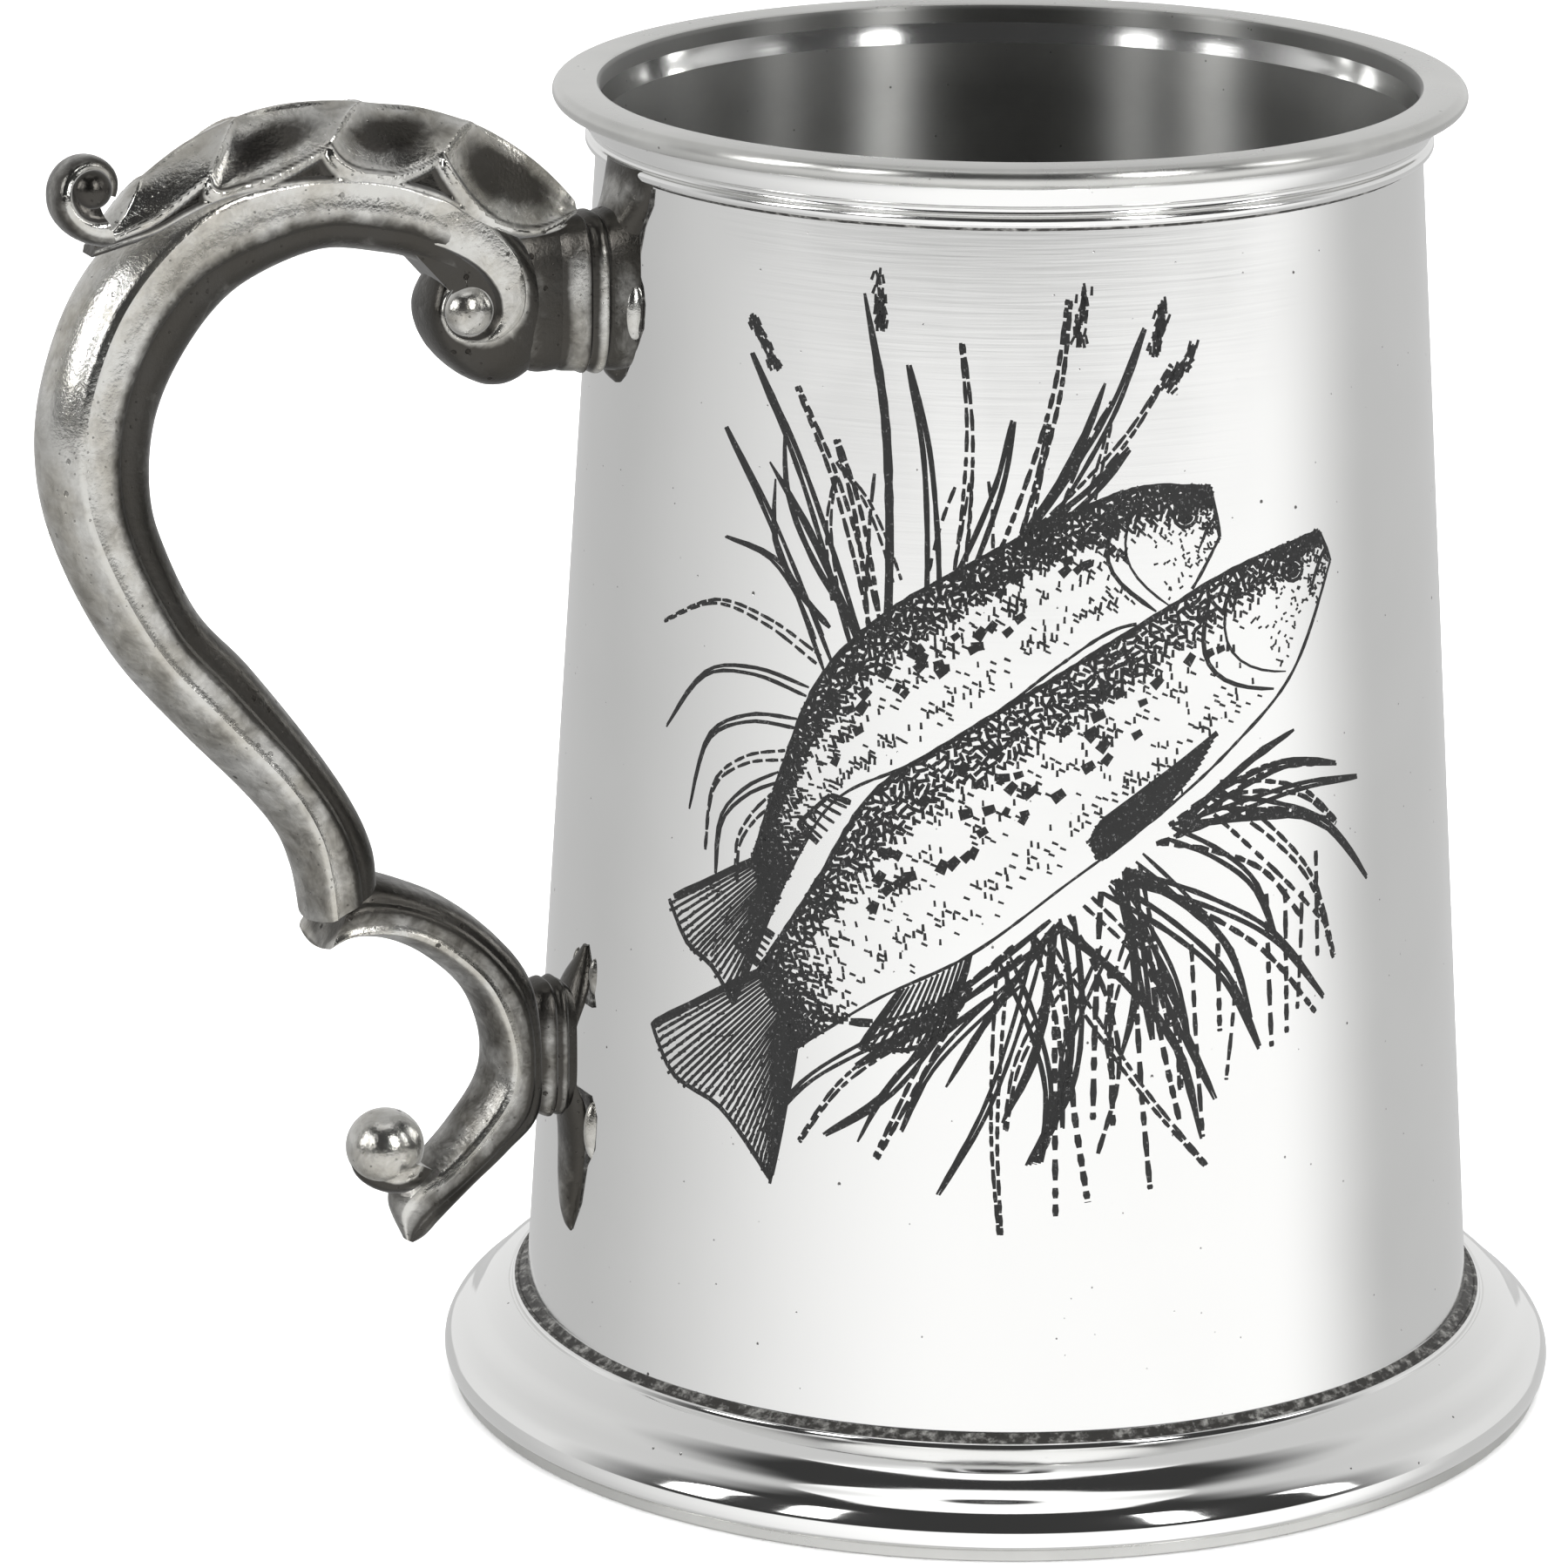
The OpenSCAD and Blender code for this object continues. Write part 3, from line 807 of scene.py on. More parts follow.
# The leaf: (outward, up) of its foot on the strap, the same of its top, and half its width
LEAF_KNOTS = [
    (88.8, 116.0, 87.8, 118.0, 1.6),
    (86.6, 116.9, 86.3, 119.6, 2.8),
    (84.0, 117.8, 84.7, 121.3, 3.7),
    (81.5, 119.1, 82.6, 122.9, 4.3),
    (79.0, 120.2, 80.0, 124.5, 4.7),
    (76.5, 120.8, 77.2, 125.7, 4.9),
    (73.7, 121.0, 74.2, 126.7, 5.0),
    (70.8, 121.1, 71.2, 127.2, 5.0),
    (68.0, 121.0, 68.2, 127.3, 5.0),
    (65.0, 120.8, 65.0, 127.1, 5.0),
    (62.2, 120.2, 61.8, 126.6, 4.9),
    (59.6, 119.4, 58.6, 126.1, 4.8),
    (57.0, 118.2, 55.6, 125.2, 4.6),
    (54.2, 116.3, 52.4, 123.9, 4.4),
    (51.2, 114.9, 49.4, 122.1, 4.0),
    (48.2, 114.4, 46.8, 120.1, 3.5),
    (45.6, 114.6, 44.8, 118.2, 2.8),
    (43.6, 115.0, 43.2, 116.4, 1.4),
]

# Each lobe: (front, rear) places of its cusps along the leaf, how high the cusps and its lowest
# edge stand on the flank, how far its front and rear ridges lean, the depth of its hollow, where
# it is lowest, and how dark its hollow is painted, partly patina and partly painted shade
LOBES = [
    (87.6, 79.0, 0.36, 0.22, 3.7, 3.9, 0.55, 0.25, 0.1),
    (79.0, 67.9, 0.36, 0.10, 3.9, 4.6, 1.15, 0.30, 1.0),
    (67.9, 57.1, 0.38, 0.11, 4.6, 4.4, 1.15, 0.60, 1.0),
    (57.1, 43.0, 0.40, 0.07, 4.4, 0.0, 1.50, 0.60, 1.0),
]


def leaf_relief(outward, rise):
    """How far the flank is cut in and how dark it is, at a place along it and up it. The dark is
    partly patina and partly painted shade in the hollows and the pockets, and the raised rims and
    seams are painted lighter, partly wear and partly painted highlight.
    """
    depth, shade_and_patina_amount = 0.0, 0.1
    for front, rear, cusp, lowest, lean, next_lean, hollow, bottom, hollow_darkening in LOBES:
        ridge = front - lean * (rise - cusp) / (1 - cusp)
        next_ridge = rear - next_lean * (rise - cusp) / (1 - cusp)
        x = (ridge - outward) / max(ridge - next_ridge, 0.1)
        if x < 0 or x >= 1:
            continue
        along = x / (2 * bottom) if x < bottom else 0.5 + (x - bottom) / (2 * (1 - bottom))
        edge = lowest + (cusp - lowest) * abs(2 * along - 1) ** 2.4
        y = (rise - edge) / (0.97 - edge)
        side = min(x, 1 - x)
        if 0 < y < 1:
            bowl = math.sin(math.pi * x ** 0.85) ** 0.55 * math.sin(math.pi * y ** 0.9) ** 0.55
            # The hollow is painted darker towards its middle: patina and painted shade
            depth = hollow * bowl
            shade_and_patina_amount = (0.08 + 0.62 * bowl ** 3) * hollow_darkening
        # A raised rim below the lobe's edge is painted lighter, partly wear and partly painted
        # highlight; the edge line darker
        rim = bump(edge - 0.045, 0.028, rise) * smooth(0.0, 0.06, side)
        line = bump(edge - 0.005, 0.012, rise)
        depth += 0.18 * line - 0.26 * rim
        shade_and_patina_amount = shade_and_patina_amount * (1 - 0.9 * rim) + 0.4 * line
        # The pocket under a lobe's edge is painted dark: painted shade and patina
        below = edge - 0.11 - rise
        if below > 0 and rise > 0.02:
            pocket = smooth(0.0, 0.08, below) * smooth(0.0, 0.05, rise - 0.01)
            depth += 0.75 * pocket
            shade_and_patina_amount = max(shade_and_patina_amount, 0.95 * pocket)
        # The seam between lobes is painted lighter, partly wear and partly painted highlight
        seam = bump(0.0, 0.022, side) * smooth(cusp - 0.04, cusp + 0.03, rise)
        depth = depth * (1 - 0.7 * seam) - 0.12 * seam
        shade_and_patina_amount *= 1 - 0.6 * seam
        break
    return depth, shade_and_patina_amount


def leaf_ring(knot):
    """A cross-section of the leaf: two scooped flanks that meet in a ridge."""
    spokes = 54
    foot = Vector(knot[0:2])
    top = Vector(knot[2:4])
    half_w = knot[4]
    up = top - foot
    ring = []
    for side in (1, -1):
        flank = []
        for i in range(spokes + 1):
            rise = i / spokes
            turn = rise * math.pi / 2
            w, h = half_w * math.cos(turn), math.sin(turn)
            centre = foot + up * h
            cut, shade_and_patina_amount = leaf_relief(centre.x, rise)
            ease = smooth(0, 0.05, 1 - rise)
            inward = Vector((up.length * math.cos(turn), half_w * math.sin(turn))).normalized()
            w -= cut * ease * inward.x
            centre = centre - up.normalized() * (cut * ease * inward.y)
            flank.append((at(centre.x, centre.y, side * max(w, 0)), shade_and_patina_amount))
        ring += flank if side == 1 else list(reversed(flank))[1:]
    # The underside, where the leaf sits on the strap, is painted dark: painted shade
    sunk = foot - up.normalized() * 0.6
    for share in (0.75, 0.5, 0.25, 0, -0.25, -0.5, -0.75):
        ring.append((at(sunk.x, sunk.y, -half_w * share), 0.8))
    return ring


class TANKARD_OT_leaf(bpy.types.Operator):
    """Carve the scooped leaf along the strap and curl its outer end"""

    bl_idname = "tankard.leaf"
    bl_label = "Leaf"

    def execute(self, context):
        stations = 300
        rings = [leaf_ring(spline(LEAF_KNOTS, i / stations)) for i in range(stations + 1)]
        make_piece("leaf", skin(rings), ["leaf_pewter"], "cast_pewter", ["thumb_leaf"])
        # The curl's face and its eyes are painted dark, partly patina and partly painted shade
        curl = roll((89.1, 121.4), CURL_KNOTS, 72, 0.30)
        eyes = [ball(at(89.0, 121.5, side * 1.5), 1.75, (1, 0.85, 1), 0.75) for side in (1, -1)]
        make_piece("curl", join([curl, *eyes]), ["leaf_pewter"], "cast_pewter", ["leaf_curl"])
        return {"FINISHED"}


# A roll: (angle in degrees, inner and outer radius of the band on its cheek, outer radius,
# half the width at the band, half the width at the eye)
CURL_KNOTS = [
    (-112, 2.7, 4.2, 5.6, 2.9, 2.2),
    (-90, 2.5, 3.7, 4.9, 2.8, 2.1),
    (-65, 2.3, 3.2, 4.3, 2.7, 2.0),
    (-40, 2.1, 2.9, 3.8, 2.5, 1.9),
    (-10, 1.9, 2.6, 3.3, 2.3, 1.8),
    (30, 1.8, 2.4, 3.0, 2.1, 1.7),
    (75, 1.7, 2.3, 2.9, 1.9, 1.6),
    (120, 1.7, 2.2, 2.9, 1.7, 1.5),
    (160, 1.7, 2.1, 2.9, 1.5, 1.4),
    (200, 1.7, 2.0, 2.8, 1.3, 1.2),
]

VOLUTE_KNOTS = [
    (48, 8.6, 10.8, 11.4, 3.2, 3.0),
    (61, 7.2, 10.5, 11.3, 3.8, 3.3),
    (74, 5.7, 9.9, 11.0, 4.2, 3.4),
    (88, 4.6, 9.1, 10.1, 4.35, 3.4),
    (106, 3.7, 7.5, 9.0, 4.4, 3.4),
    (130, 3.05, 6.3, 8.3, 4.4, 3.4),
    (160, 2.72, 5.35, 8.2, 4.35, 3.4),
    (187, 2.62, 4.75, 8.6, 4.3, 3.4),
    (210, 2.58, 4.0, 9.2, 4.25, 3.4),
    (233, 2.55, 3.35, 8.9, 4.2, 3.4),
    (250, 2.5, 2.95, 7.9, 4.1, 3.35),
    (266, 2.5, 2.7, 6.5, 4.0, 3.3),
    (285, 2.5, 2.65, 5.2, 3.9, 3.2),
    (310, 2.5, 2.65, 4.2, 3.8, 3.1),
    (335, 2.5, 2.65, 3.65, 3.6, 3.0),
    (360, 2.5, 2.65, 3.45, 3.4, 2.9),
    (390, 2.5, 2.65, 3.5, 3.2, 2.8),
    (420, 2.5, 2.65, 4.0, 3.0, 2.6),
]


def roll(eye, knots, stations, face_darkening):
    """A rolled end: a band spirals in on each cheek, and the crowned face wraps round it."""
    rings = []
    for i in range(stations + 1):
        angle, inner, outer, reach, band_w, eye_w = spline(knots, i / stations)
        turn = math.radians(angle)
        out = Vector((math.cos(turn), math.sin(turn)))
        # Painted dark beside the eye, partly patina and partly painted shade, light on the band and
        # its edge, partly wear and partly painted highlight, and darkened on the wrapped face by the
        # given amount
        half = [(0.0, eye_w, 0.6), (inner - 0.45, eye_w, 0.8), (inner - 0.2, eye_w + 0.1, 0.9),
                (inner, band_w - 0.25, 0.6), (inner + 0.2, band_w, 0.05)]
        for k in (0.25, 0.5, 0.75):
            half.append((inner + 0.2 + (outer - inner - 0.4) * k,
                         band_w + 0.12 * math.sin(math.pi * k), 0.05))
        half += [(outer - 0.2, band_w, 0.0), (outer, band_w - 0.18, 0.1)]
        for a in (8, 18, 30, 42, 54, 66, 78, 90):
            rise = math.radians(a)
            half.append((outer + (reach - outer) * math.sin(rise) ** 0.9,
                         (band_w - 0.2) * math.cos(rise) ** 0.8 if a < 90 else 0,
                         face_darkening + 0.15 * math.sin(2 * rise)))
        ring = half + [(r, -w, d) for r, w, d in reversed(half[:-1])]
        rings.append([(at(eye[0] + out.x * r, eye[1] + out.y * r, w), d) for r, w, d in ring])
    return skin(rings)


def oblong(s, z_low, z_high, half_w, shade_and_patina):
    """A rounded oblong ring across the handle, its upper half painted darker as painted shade."""
    steps, fullness = 72, 0.62
    middle, half_h = (z_low + z_high) / 2, (z_high - z_low) / 2
    ring = []
    for i in range(steps):
        c, d = math.cos(math.tau * i / steps), math.sin(math.tau * i / steps)
        # The upper half is painted darker: painted shade
        ring.append((at(s, middle + half_h * math.copysign(abs(c) ** fullness, c),
                        half_w * math.copysign(abs(d) ** fullness, d)),
                     shade_and_patina + 0.45 * smooth(0.15, 0.75, c)))
    return ring


def stack(sections):
    """A solid through a list of oblongs, each (outward, low, high, half width, darkening): patina in
    the grooves and painted shade.
    """
    count = (len(sections) - 1) * 3
    return skin([oblong(*spline(sections, i / count)) for i in range(count + 1)])


class TANKARD_OT_volute(bpy.types.Operator):
    """Roll the upper scroll round its domed eye"""

    bl_idname = "tankard.volute"
    bl_label = "Upper Volute"

    def execute(self, context):
        eye = (54.7, 107.95)
        # The roll's face, the eye balls and the oblongs carry given darkening, partly patina and
        # partly painted shade
        parts = [roll(eye, VOLUTE_KNOTS, 150, 0.46)]
        for side in (1, -1):
            parts.append(ball(at(eye[0], eye[1], side * 3.15), 2.25, (1, 0.72, 1), 0.12))
        parts.append(stack([
            (51.6, 104.0, 114.6, 3.3, 0.5),
            (49.6, 102.2, 115.2, 3.75, 0.45),
            (48.0, 101.4, 115.3, 3.85, 0.45),
            (46.6, 101.3, 115.3, 3.8, 0.6),
            (45.6, 101.4, 115.2, 3.7, 0.8),
        ]))
        make_piece("volute", join(parts), ["satin_pewter"], "cast_pewter", ["upper_volute"])
        return {"FINISHED"}


# ---- Attachments ---------------------------------------------------------------------


def plate(knots, stations):
    """A domed plate that runs down the drum. A knot is (up, back, front, half width, darkening),
    partly patina and partly painted shade.
    """
    spokes = 28
    drum_r = 40
    rings = []
    for i in range(stations + 1):
        z, back, front, half_w, shade_and_patina = spline(knots, i / stations)
        ring = []
        for k in range(spokes):
            turn = math.tau * k / spokes
            c, d = math.cos(turn), math.sin(turn)
            w = half_w * math.copysign(abs(c) ** 0.8, c)
            s = front if d > 0 else back
            middle = back + 0.25 * (front - back)
            reach = middle + (s - middle) * abs(d) ** (0.8 if d > 0 else 1.0)
            wrap = w * w / (2 * drum_r)
            # The plate's side edges are painted darker: painted shade
            ring.append((at(reach - wrap, z, w), shade_and_patina + 0.25 * abs(c) ** 4))
        rings.append(ring)
    return skin(rings)


class TANKARD_OT_mounts(bpy.types.Operator):
    """Build the grooved collars and the leaf-shaped plates that join the handle to the drum"""

    bl_idname = "tankard.mounts"
    bl_label = "Collars and Plates"

    def execute(self, context):
        cast = ["satin_pewter"]
        # The last number of each row, and the number after each ball's stretch, darken the metal:
        # patina in the grooves and painted shade
        upper_collar = stack([
            (45.9, 101.4, 115.2, 3.75, 0.8),
            (45.2, 101.2, 115.3, 3.85, 0.35),
            (44.4, 101.1, 115.3, 3.85, 0.2),
            (43.6, 101.0, 115.3, 3.85, 0.25),
            (43.2, 100.8, 115.3, 3.9, 0.5),
            (42.9, 101.2, 115.0, 3.55, 0.95),
            (42.5, 101.0, 115.2, 3.8, 0.5),
            (42.1, 100.7, 115.3, 4.05, 0.15),
            (41.6, 100.7, 115.3, 4.05, 0.2),
            (41.2, 101.1, 115.0, 3.65, 0.95),
            (40.8, 100.9, 115.2, 3.6, 0.5),
            (39.4, 100.7, 115.6, 3.5, 0.4),
            (38.2, 100.9, 115.6, 3.4, 0.5),
        ])
        make_piece("upper_grooved_collar", upper_collar, cast, "cast_pewter", ["upper_collar"])
        shield = plate([
            (119.3, 37.2, 38.9, 4.6, 0.6),
            (117.6, 37.3, 39.3, 4.4, 0.35),
            (115.8, 37.4, 39.9, 4.0, 0.35),
            (114.3, 37.5, 40.7, 3.4, 0.5),
            (113.4, 37.6, 41.0, 3.05, 0.8),
            (112.0, 37.7, 40.7, 2.8, 0.6),
            (110.0, 37.9, 40.5, 2.7, 0.35),
            (107.0, 38.1, 40.6, 3.0, 0.3),
            (104.0, 38.2, 40.6, 2.9, 0.35),
            (102.0, 38.4, 40.6, 2.2, 0.5),
            (100.4, 38.5, 40.2, 1.3, 0.6),
            (99.4, 38.6, 39.3, 0.3, 0.8),
        ], 90)
        pearls = [ball(at(38.7, 106.4, side * 3.1), 1.0, (1.1, 0.8, 2.6), 0.1, 16)
                  for side in (1, -1)]
        make_piece("upper_shield", join([shield, *pearls]), cast, "cast_pewter", ["upper_plate"])
        lower_collar = stack([
            (48.9, 32.9, 42.8, 2.4, 0.6),
            (48.0, 31.8, 43.7, 3.0, 0.5),
            (47.3, 31.3, 44.1, 3.2, 0.3),
            (46.7, 31.1, 44.2, 3.25, 0.5),
            (46.4, 31.4, 43.9, 2.9, 0.95),
            (46.0, 31.2, 44.1, 3.15, 0.4),
            (45.6, 31.1, 44.2, 3.2, 0.4),
            (45.3, 31.4, 43.9, 2.9, 0.95),
            (45.0, 31.5, 43.8, 2.8, 0.6),
            (44.4, 32.0, 43.2, 2.6, 0.6),
        ])
        make_piece("lower_grooved_collar", lower_collar, cast, "cast_pewter", ["lower_collar"])
        leaf = plate([
            (46.8, 42.1, 42.6, 0.4, 0.5),
            (45.6, 42.2, 43.3, 1.1, 0.6),
            (44.0, 42.4, 44.3, 1.9, 0.6),
            (42.0, 43.2, 45.1, 2.4, 0.5),
            (39.5, 44.3, 45.5, 2.5, 0.45),
            (37.0, 44.6, 45.6, 2.5, 0.45),
            (34.5, 44.3, 45.5, 2.5, 0.45),
            (32.0, 43.3, 45.2, 2.5, 0.5),
            (30.0, 43.1, 44.9, 2.5, 0.5),
            (27.5, 43.3, 44.8, 2.4, 0.4),
            (24.5, 43.5, 44.9, 2.1, 0.3),
            (22.0, 43.6, 44.9, 1.5, 0.3),
            (20.2, 43.7, 44.6, 0.7, 0.4),
            (19.3, 43.8, 44.1, 0.15, 0.6),
        ], 110)
        pearls = [ball(at(42.9, 29.8, side * 3.15), 1.0, (1.1, 0.75, 2.9), 0.1, 16)
                  for side in (1, -1)]
        prongs = [ball(at(42.2, 44.2, side * 1.9), 0.7, (1, 0.7, 2.6), 0.3, 12)
                  for side in (1, -1)]
        make_piece("lower_leaf", join([leaf, *pearls, *prongs]), cast, "cast_pewter",
                   ["lower_plate"])
        return {"FINISHED"}


class TANKARD_OT_scroll(bpy.types.Operator):
    """Sweep the lower scroll and set its ball in the curl"""

    bl_idname = "tankard.scroll"
    bl_label = "Lower Scroll"

    def execute(self, context):
        # The scroll is darkened more throughout; its bead and curl carry given darkening, partly
        # patina and partly painted shade
        scroll = sweep(SCROLL_KNOTS, 120, lambda t: 0.30)
        make_piece("scroll", scroll, ["satin_pewter"], "cast_pewter", ["lower_scroll"])
        low_end, high_end = (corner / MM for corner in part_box("scroll_ball"))
        centre = (low_end + high_end) / 2
        radius = (high_end.x - low_end.x) / 2
        bead = ball(centre, radius - 0.05, (1, 0.98, 0.98), 0.08, 32)
        curl = roll((-centre.x, centre.z), [
            (-150, 1.2, 3.1, 5.6, 2.7, 2.2),
            (-130, 1.2, 3.0, 5.2, 2.9, 2.3),
            (-110, 1.2, 2.9, 4.7, 2.9, 2.3),
            (-90, 1.2, 2.8, 4.3, 2.7, 2.1),
            (-68, 1.2, 2.7, 4.0, 2.3, 1.8),
            (-45, 1.2, 2.5, 3.8, 1.6, 1.3),
            (-20, 1.1, 2.0, 3.55, 0.7, 0.6),
        ], 30, 0.5)
        make_piece("scroll_bead", join([bead, curl]), ["satin_pewter"], "cast_pewter",
                   ["scroll_ball"])
        return {"FINISHED"}


# ---- Engraving -----------------------------------------------------------------------


class Engraver:
    """Lays thin black strokes on the drum. A place is (round the drum, up), in millimetres."""

    wrap_radius = 41.0

    def __init__(self, sizes, facing, seed):
        self.sizes = sizes
        self.facing = facing
        self.lift = sizes.engraving_lift / MM
        self.random = random.Random(seed)
        self.bm = bmesh.new()

    def on_drum(self, a, z):
        """A new vertex at a place on the drum."""
        turn = a / self.wrap_radius + self.facing
        radius = drum_radius(self.sizes, z) + self.lift
        return self.bm.verts.new((radius * math.sin(turn), -radius * math.cos(turn), z))

    def stroke(self, points, widths):
        """A ribbon along points, as wide as widths say."""
        sides = []
        for i, (a, z) in enumerate(points):
            before, after = points[max(i - 1, 0)], points[min(i + 1, len(points) - 1)]
            run = Vector((after[0] - before[0], after[1] - before[1]))
            run = run.normalized() if run.length else Vector((1, 0))
            half = max(widths[i], 0.02) / 2
            sides.append((self.on_drum(a + run.y * half, z - run.x * half),
                          self.on_drum(a - run.y * half, z + run.x * half)))
        for (a, b), (c, d) in zip(sides, sides[1:]):
            self.bm.faces.new((a, c, d, b))

    def curve(self, knots, width, taper=(0.3, 0.2), steps=None, jitter=0.0):
        """A smooth stroke through knots that thins towards both ends."""
        run = sum(math.dist(a, b) for a, b in zip(knots, knots[1:]))
        steps = steps or max(2, int(run / 1.2))
        points, widths = [], []
        for i in range(steps + 1):
            t = i / steps
            a, z = spline(knots, t)
            points.append((a + self.random.gauss(0, jitter), z + self.random.gauss(0, jitter)))
            ends = min(1, taper[0] + t * 5) * min(1, taper[1] + (1 - t) * 3)
            widths.append(width * ends * self.random.uniform(0.85, 1.1))
        self.stroke(points, widths)

    def dashes(self, knots, width, dash=1.6, gap=0.5):
        """A broken stroke."""
        run = sum(math.dist(a, b) for a, b in zip(knots, knots[1:]))
        t = 0.0
        while t < 1:
            end = min(1, t + dash * self.random.uniform(0.6, 1.5) / run)
            pieces = [tuple(spline(knots, t + (end - t) * k / 2)) for k in range(3)]
            self.stroke(pieces, [width * 0.8, width, width * 0.7])
            t = end + gap * self.random.uniform(0.5, 1.5) / run

    def tick(self, a, z, angle, size, width):
        """One short straight mark."""
        dx, dz = math.cos(angle) * size / 2, math.sin(angle) * size / 2
        self.stroke([(a - dx, z - dz), (a + dx, z + dz)], [width, width * 0.8])

    def blade(self, base, angle, size, sag, width, style):
        """One reed blade from its base, bending over by sag."""
        knots = []
        for k in range(4):
            t = k / 3
            lean = math.radians(angle + sag * t * t)
            knots.append((base[0] + math.cos(lean) * size * t, base[1] + math.sin(lean) * size * t))
        if style == "solid":
            self.curve(knots, width * 0.7, (0.6, 0.3))
        elif style == "dashed":
            self.dashes(knots, width * 0.5)
        else:
            for side in (-1, 1):
                shift = [side * width * 0.5 * (1 - 0.75 * i / 3) for i in range(4)]
                moved = [(a + d * math.sin(math.radians(angle)), z - d * math.cos(math.radians(angle)))
                         for (a, z), d in zip(knots, shift)]
                if style == "double":
                    self.curve(moved, width * 0.42, (0.6, 0.5))
                else:
                    self.dashes(moved, width * 0.40, 1.3, 0.3)

    def head(self, tip, angle, size, width):
        """A bulrush head: a dense brush of short marks."""
        for _ in range(int(size * 11)):
            t = self.random.uniform(-0.5, 0.5)
            off = self.random.gauss(0, width * 0.22)
            place = (tip[0] + math.cos(angle) * size * t - math.sin(angle) * off,
                     tip[1] + math.sin(angle) * size * t + math.cos(angle) * off)
            self.tick(*place, angle + self.random.uniform(-0.4, 0.4), 0.8, 0.3)


def draw_fish(engraver, back, belly, hidden=None):
    """A plain river fish between its back and its belly, from the tail's root to the nose."""
    rng = engraver.random

    def body(p, q):
        low_edge, high_edge = spline(belly, p), spline(back, p)
        return tuple(a + (b - a) * q for a, b in zip(low_edge, high_edge))

    def heading(p, q):
        a, b = body(max(p - 0.02, 0), q), body(min(p + 0.02, 1), q)
        return math.atan2(b[1] - a[1], b[0] - a[0])

    def seen(place):
        return hidden is None or not hidden(place)

    def tone(p, q):
        blotch = 0.5 + 0.5 * math.sin(p * 47 + 2.4 * math.sin(q * 6 + p * 19)) * math.cos(
            q * 10 + p * 29)
        dark = smooth(0.60, 0.80, q) * (0.62 + 0.38 * blotch)
        dark = max(dark, 0.62 * bump(0.56, 0.10, q) * blotch)
        dark = max(dark, 0.45 * bump(0.24, 0.09, q) * (0.4 + 0.6 * blotch))
        dark = max(dark, 0.85 * smooth(0.16, 0.02, p) if p < 0.16 else 0)
        if p > 0.80:
            dark = smooth(0.52, 0.86, q) * 0.85 + 0.10 * smooth(0.86, 1.0, p)
        return max(dark, 0.55 * smooth(0.94, 1.0, q))

    for edge, weight in ((1, 0.50), (0, 0.30)):
        run = []
        for i in range(91):
            place = body(i / 90, edge)
            if seen(place):
                run.append(place)
            if len(run) > 2 and (not seen(place) or i == 90):
                engraver.stroke(run, [rng.uniform(0.7, 1.2) * weight for _ in run])
                run = []
    rows, columns = 25, 124
    for j in range(rows):
        for i in range(columns):
            p = (i + 0.5 * (j % 2) + rng.uniform(-0.3, 0.3)) / columns
            q = (j + 0.5 + rng.uniform(-0.25, 0.25)) / rows
            place = body(p, q)
            dark = tone(p, q)
            if rng.random() > dark * 1.5 or not seen(place):
                continue
            lean = math.radians(58 if (i + j) % 2 else -58) if dark < 0.7 else rng.uniform(-1.5, 1.5)
            size = 0.50 + 0.42 * dark
            engraver.tick(*place, heading(p, q) + lean, size, 0.20 + 0.24 * dark)
    for _ in range(46):
        p, q = rng.uniform(0.2, 0.8), rng.uniform(0.42, 0.86)
        place = body(p, q)
        if seen(place):
            size = rng.uniform(0.8, 1.3)
            engraver.tick(*place, heading(p, q) + rng.uniform(-0.5, 0.5), size, size * 0.8)
    for front, reach in ((0.815, 0.055), (0.845, 0.05)):
        gill = [body(front - reach * math.sin(math.pi * k / 8), 0.06 + 0.86 * k / 8)
                for k in range(9)]
        engraver.curve(gill, 0.42 if front < 0.83 else 0.24, (0.5, 0.5))
    eye = body(0.925, 0.66)
    for radius, width in ((1.15, 0.35), (0.45, 0.7)):
        ring = [(eye[0] + radius * math.cos(math.tau * k / 12),
                 eye[1] + radius * 0.85 * math.sin(math.tau * k / 12)) for k in range(13)]
        engraver.stroke(ring, [width] * 13)
    engraver.curve([body(1.0, 0.42), body(0.965, 0.36), body(0.93, 0.22)], 0.4, (0.8, 0.3))
    engraver.curve([body(1.0, 0), body(1.004, 0.5), body(1.0, 1)], 0.42, (0.8, 0.8), 5)
    for _ in range(70):
        p, q = rng.uniform(0.84, 0.98), rng.uniform(0.1, 0.6)
        engraver.tick(*body(p, q), rng.uniform(0, 3), rng.uniform(0.25, 0.5), 0.2)


def draw_web(engraver, root, rim, rays, dark=1.0):
    """A fin or a tail: rays from a root line to a rim, darkest near the rim."""
    rng = engraver.random
    for k in range(rays + 1):
        share = k / rays
        start, end = spline(root, share), spline(rim, share)
        reach = rng.uniform(0.93, 1.0)
        points = [tuple(a + (b - a) * t * reach for a, b in zip(start, end))
                  for t in (0, 0.35, 0.7, 1)]
        engraver.curve(points, 0.6 if k in (0, rays) else 0.30, (0.8, 0.8), 5)
        lean = math.atan2(end[1] - start[1], end[0] - start[0])
        size = math.dist(start, end)
        for _ in range(int(dark * size * 0.55)):
            t = 1 - rng.random() ** 1.4 * 0.6
            place = tuple(a + (b - a) * t for a, b in zip(start, end))
            engraver.tick(*place, lean + rng.uniform(-0.25, 0.25), rng.uniform(0.6, 1.1), 0.34)
    engraver.curve([spline(rim, k / 8) for k in range(9)], 0.45, (0.8, 0.8))


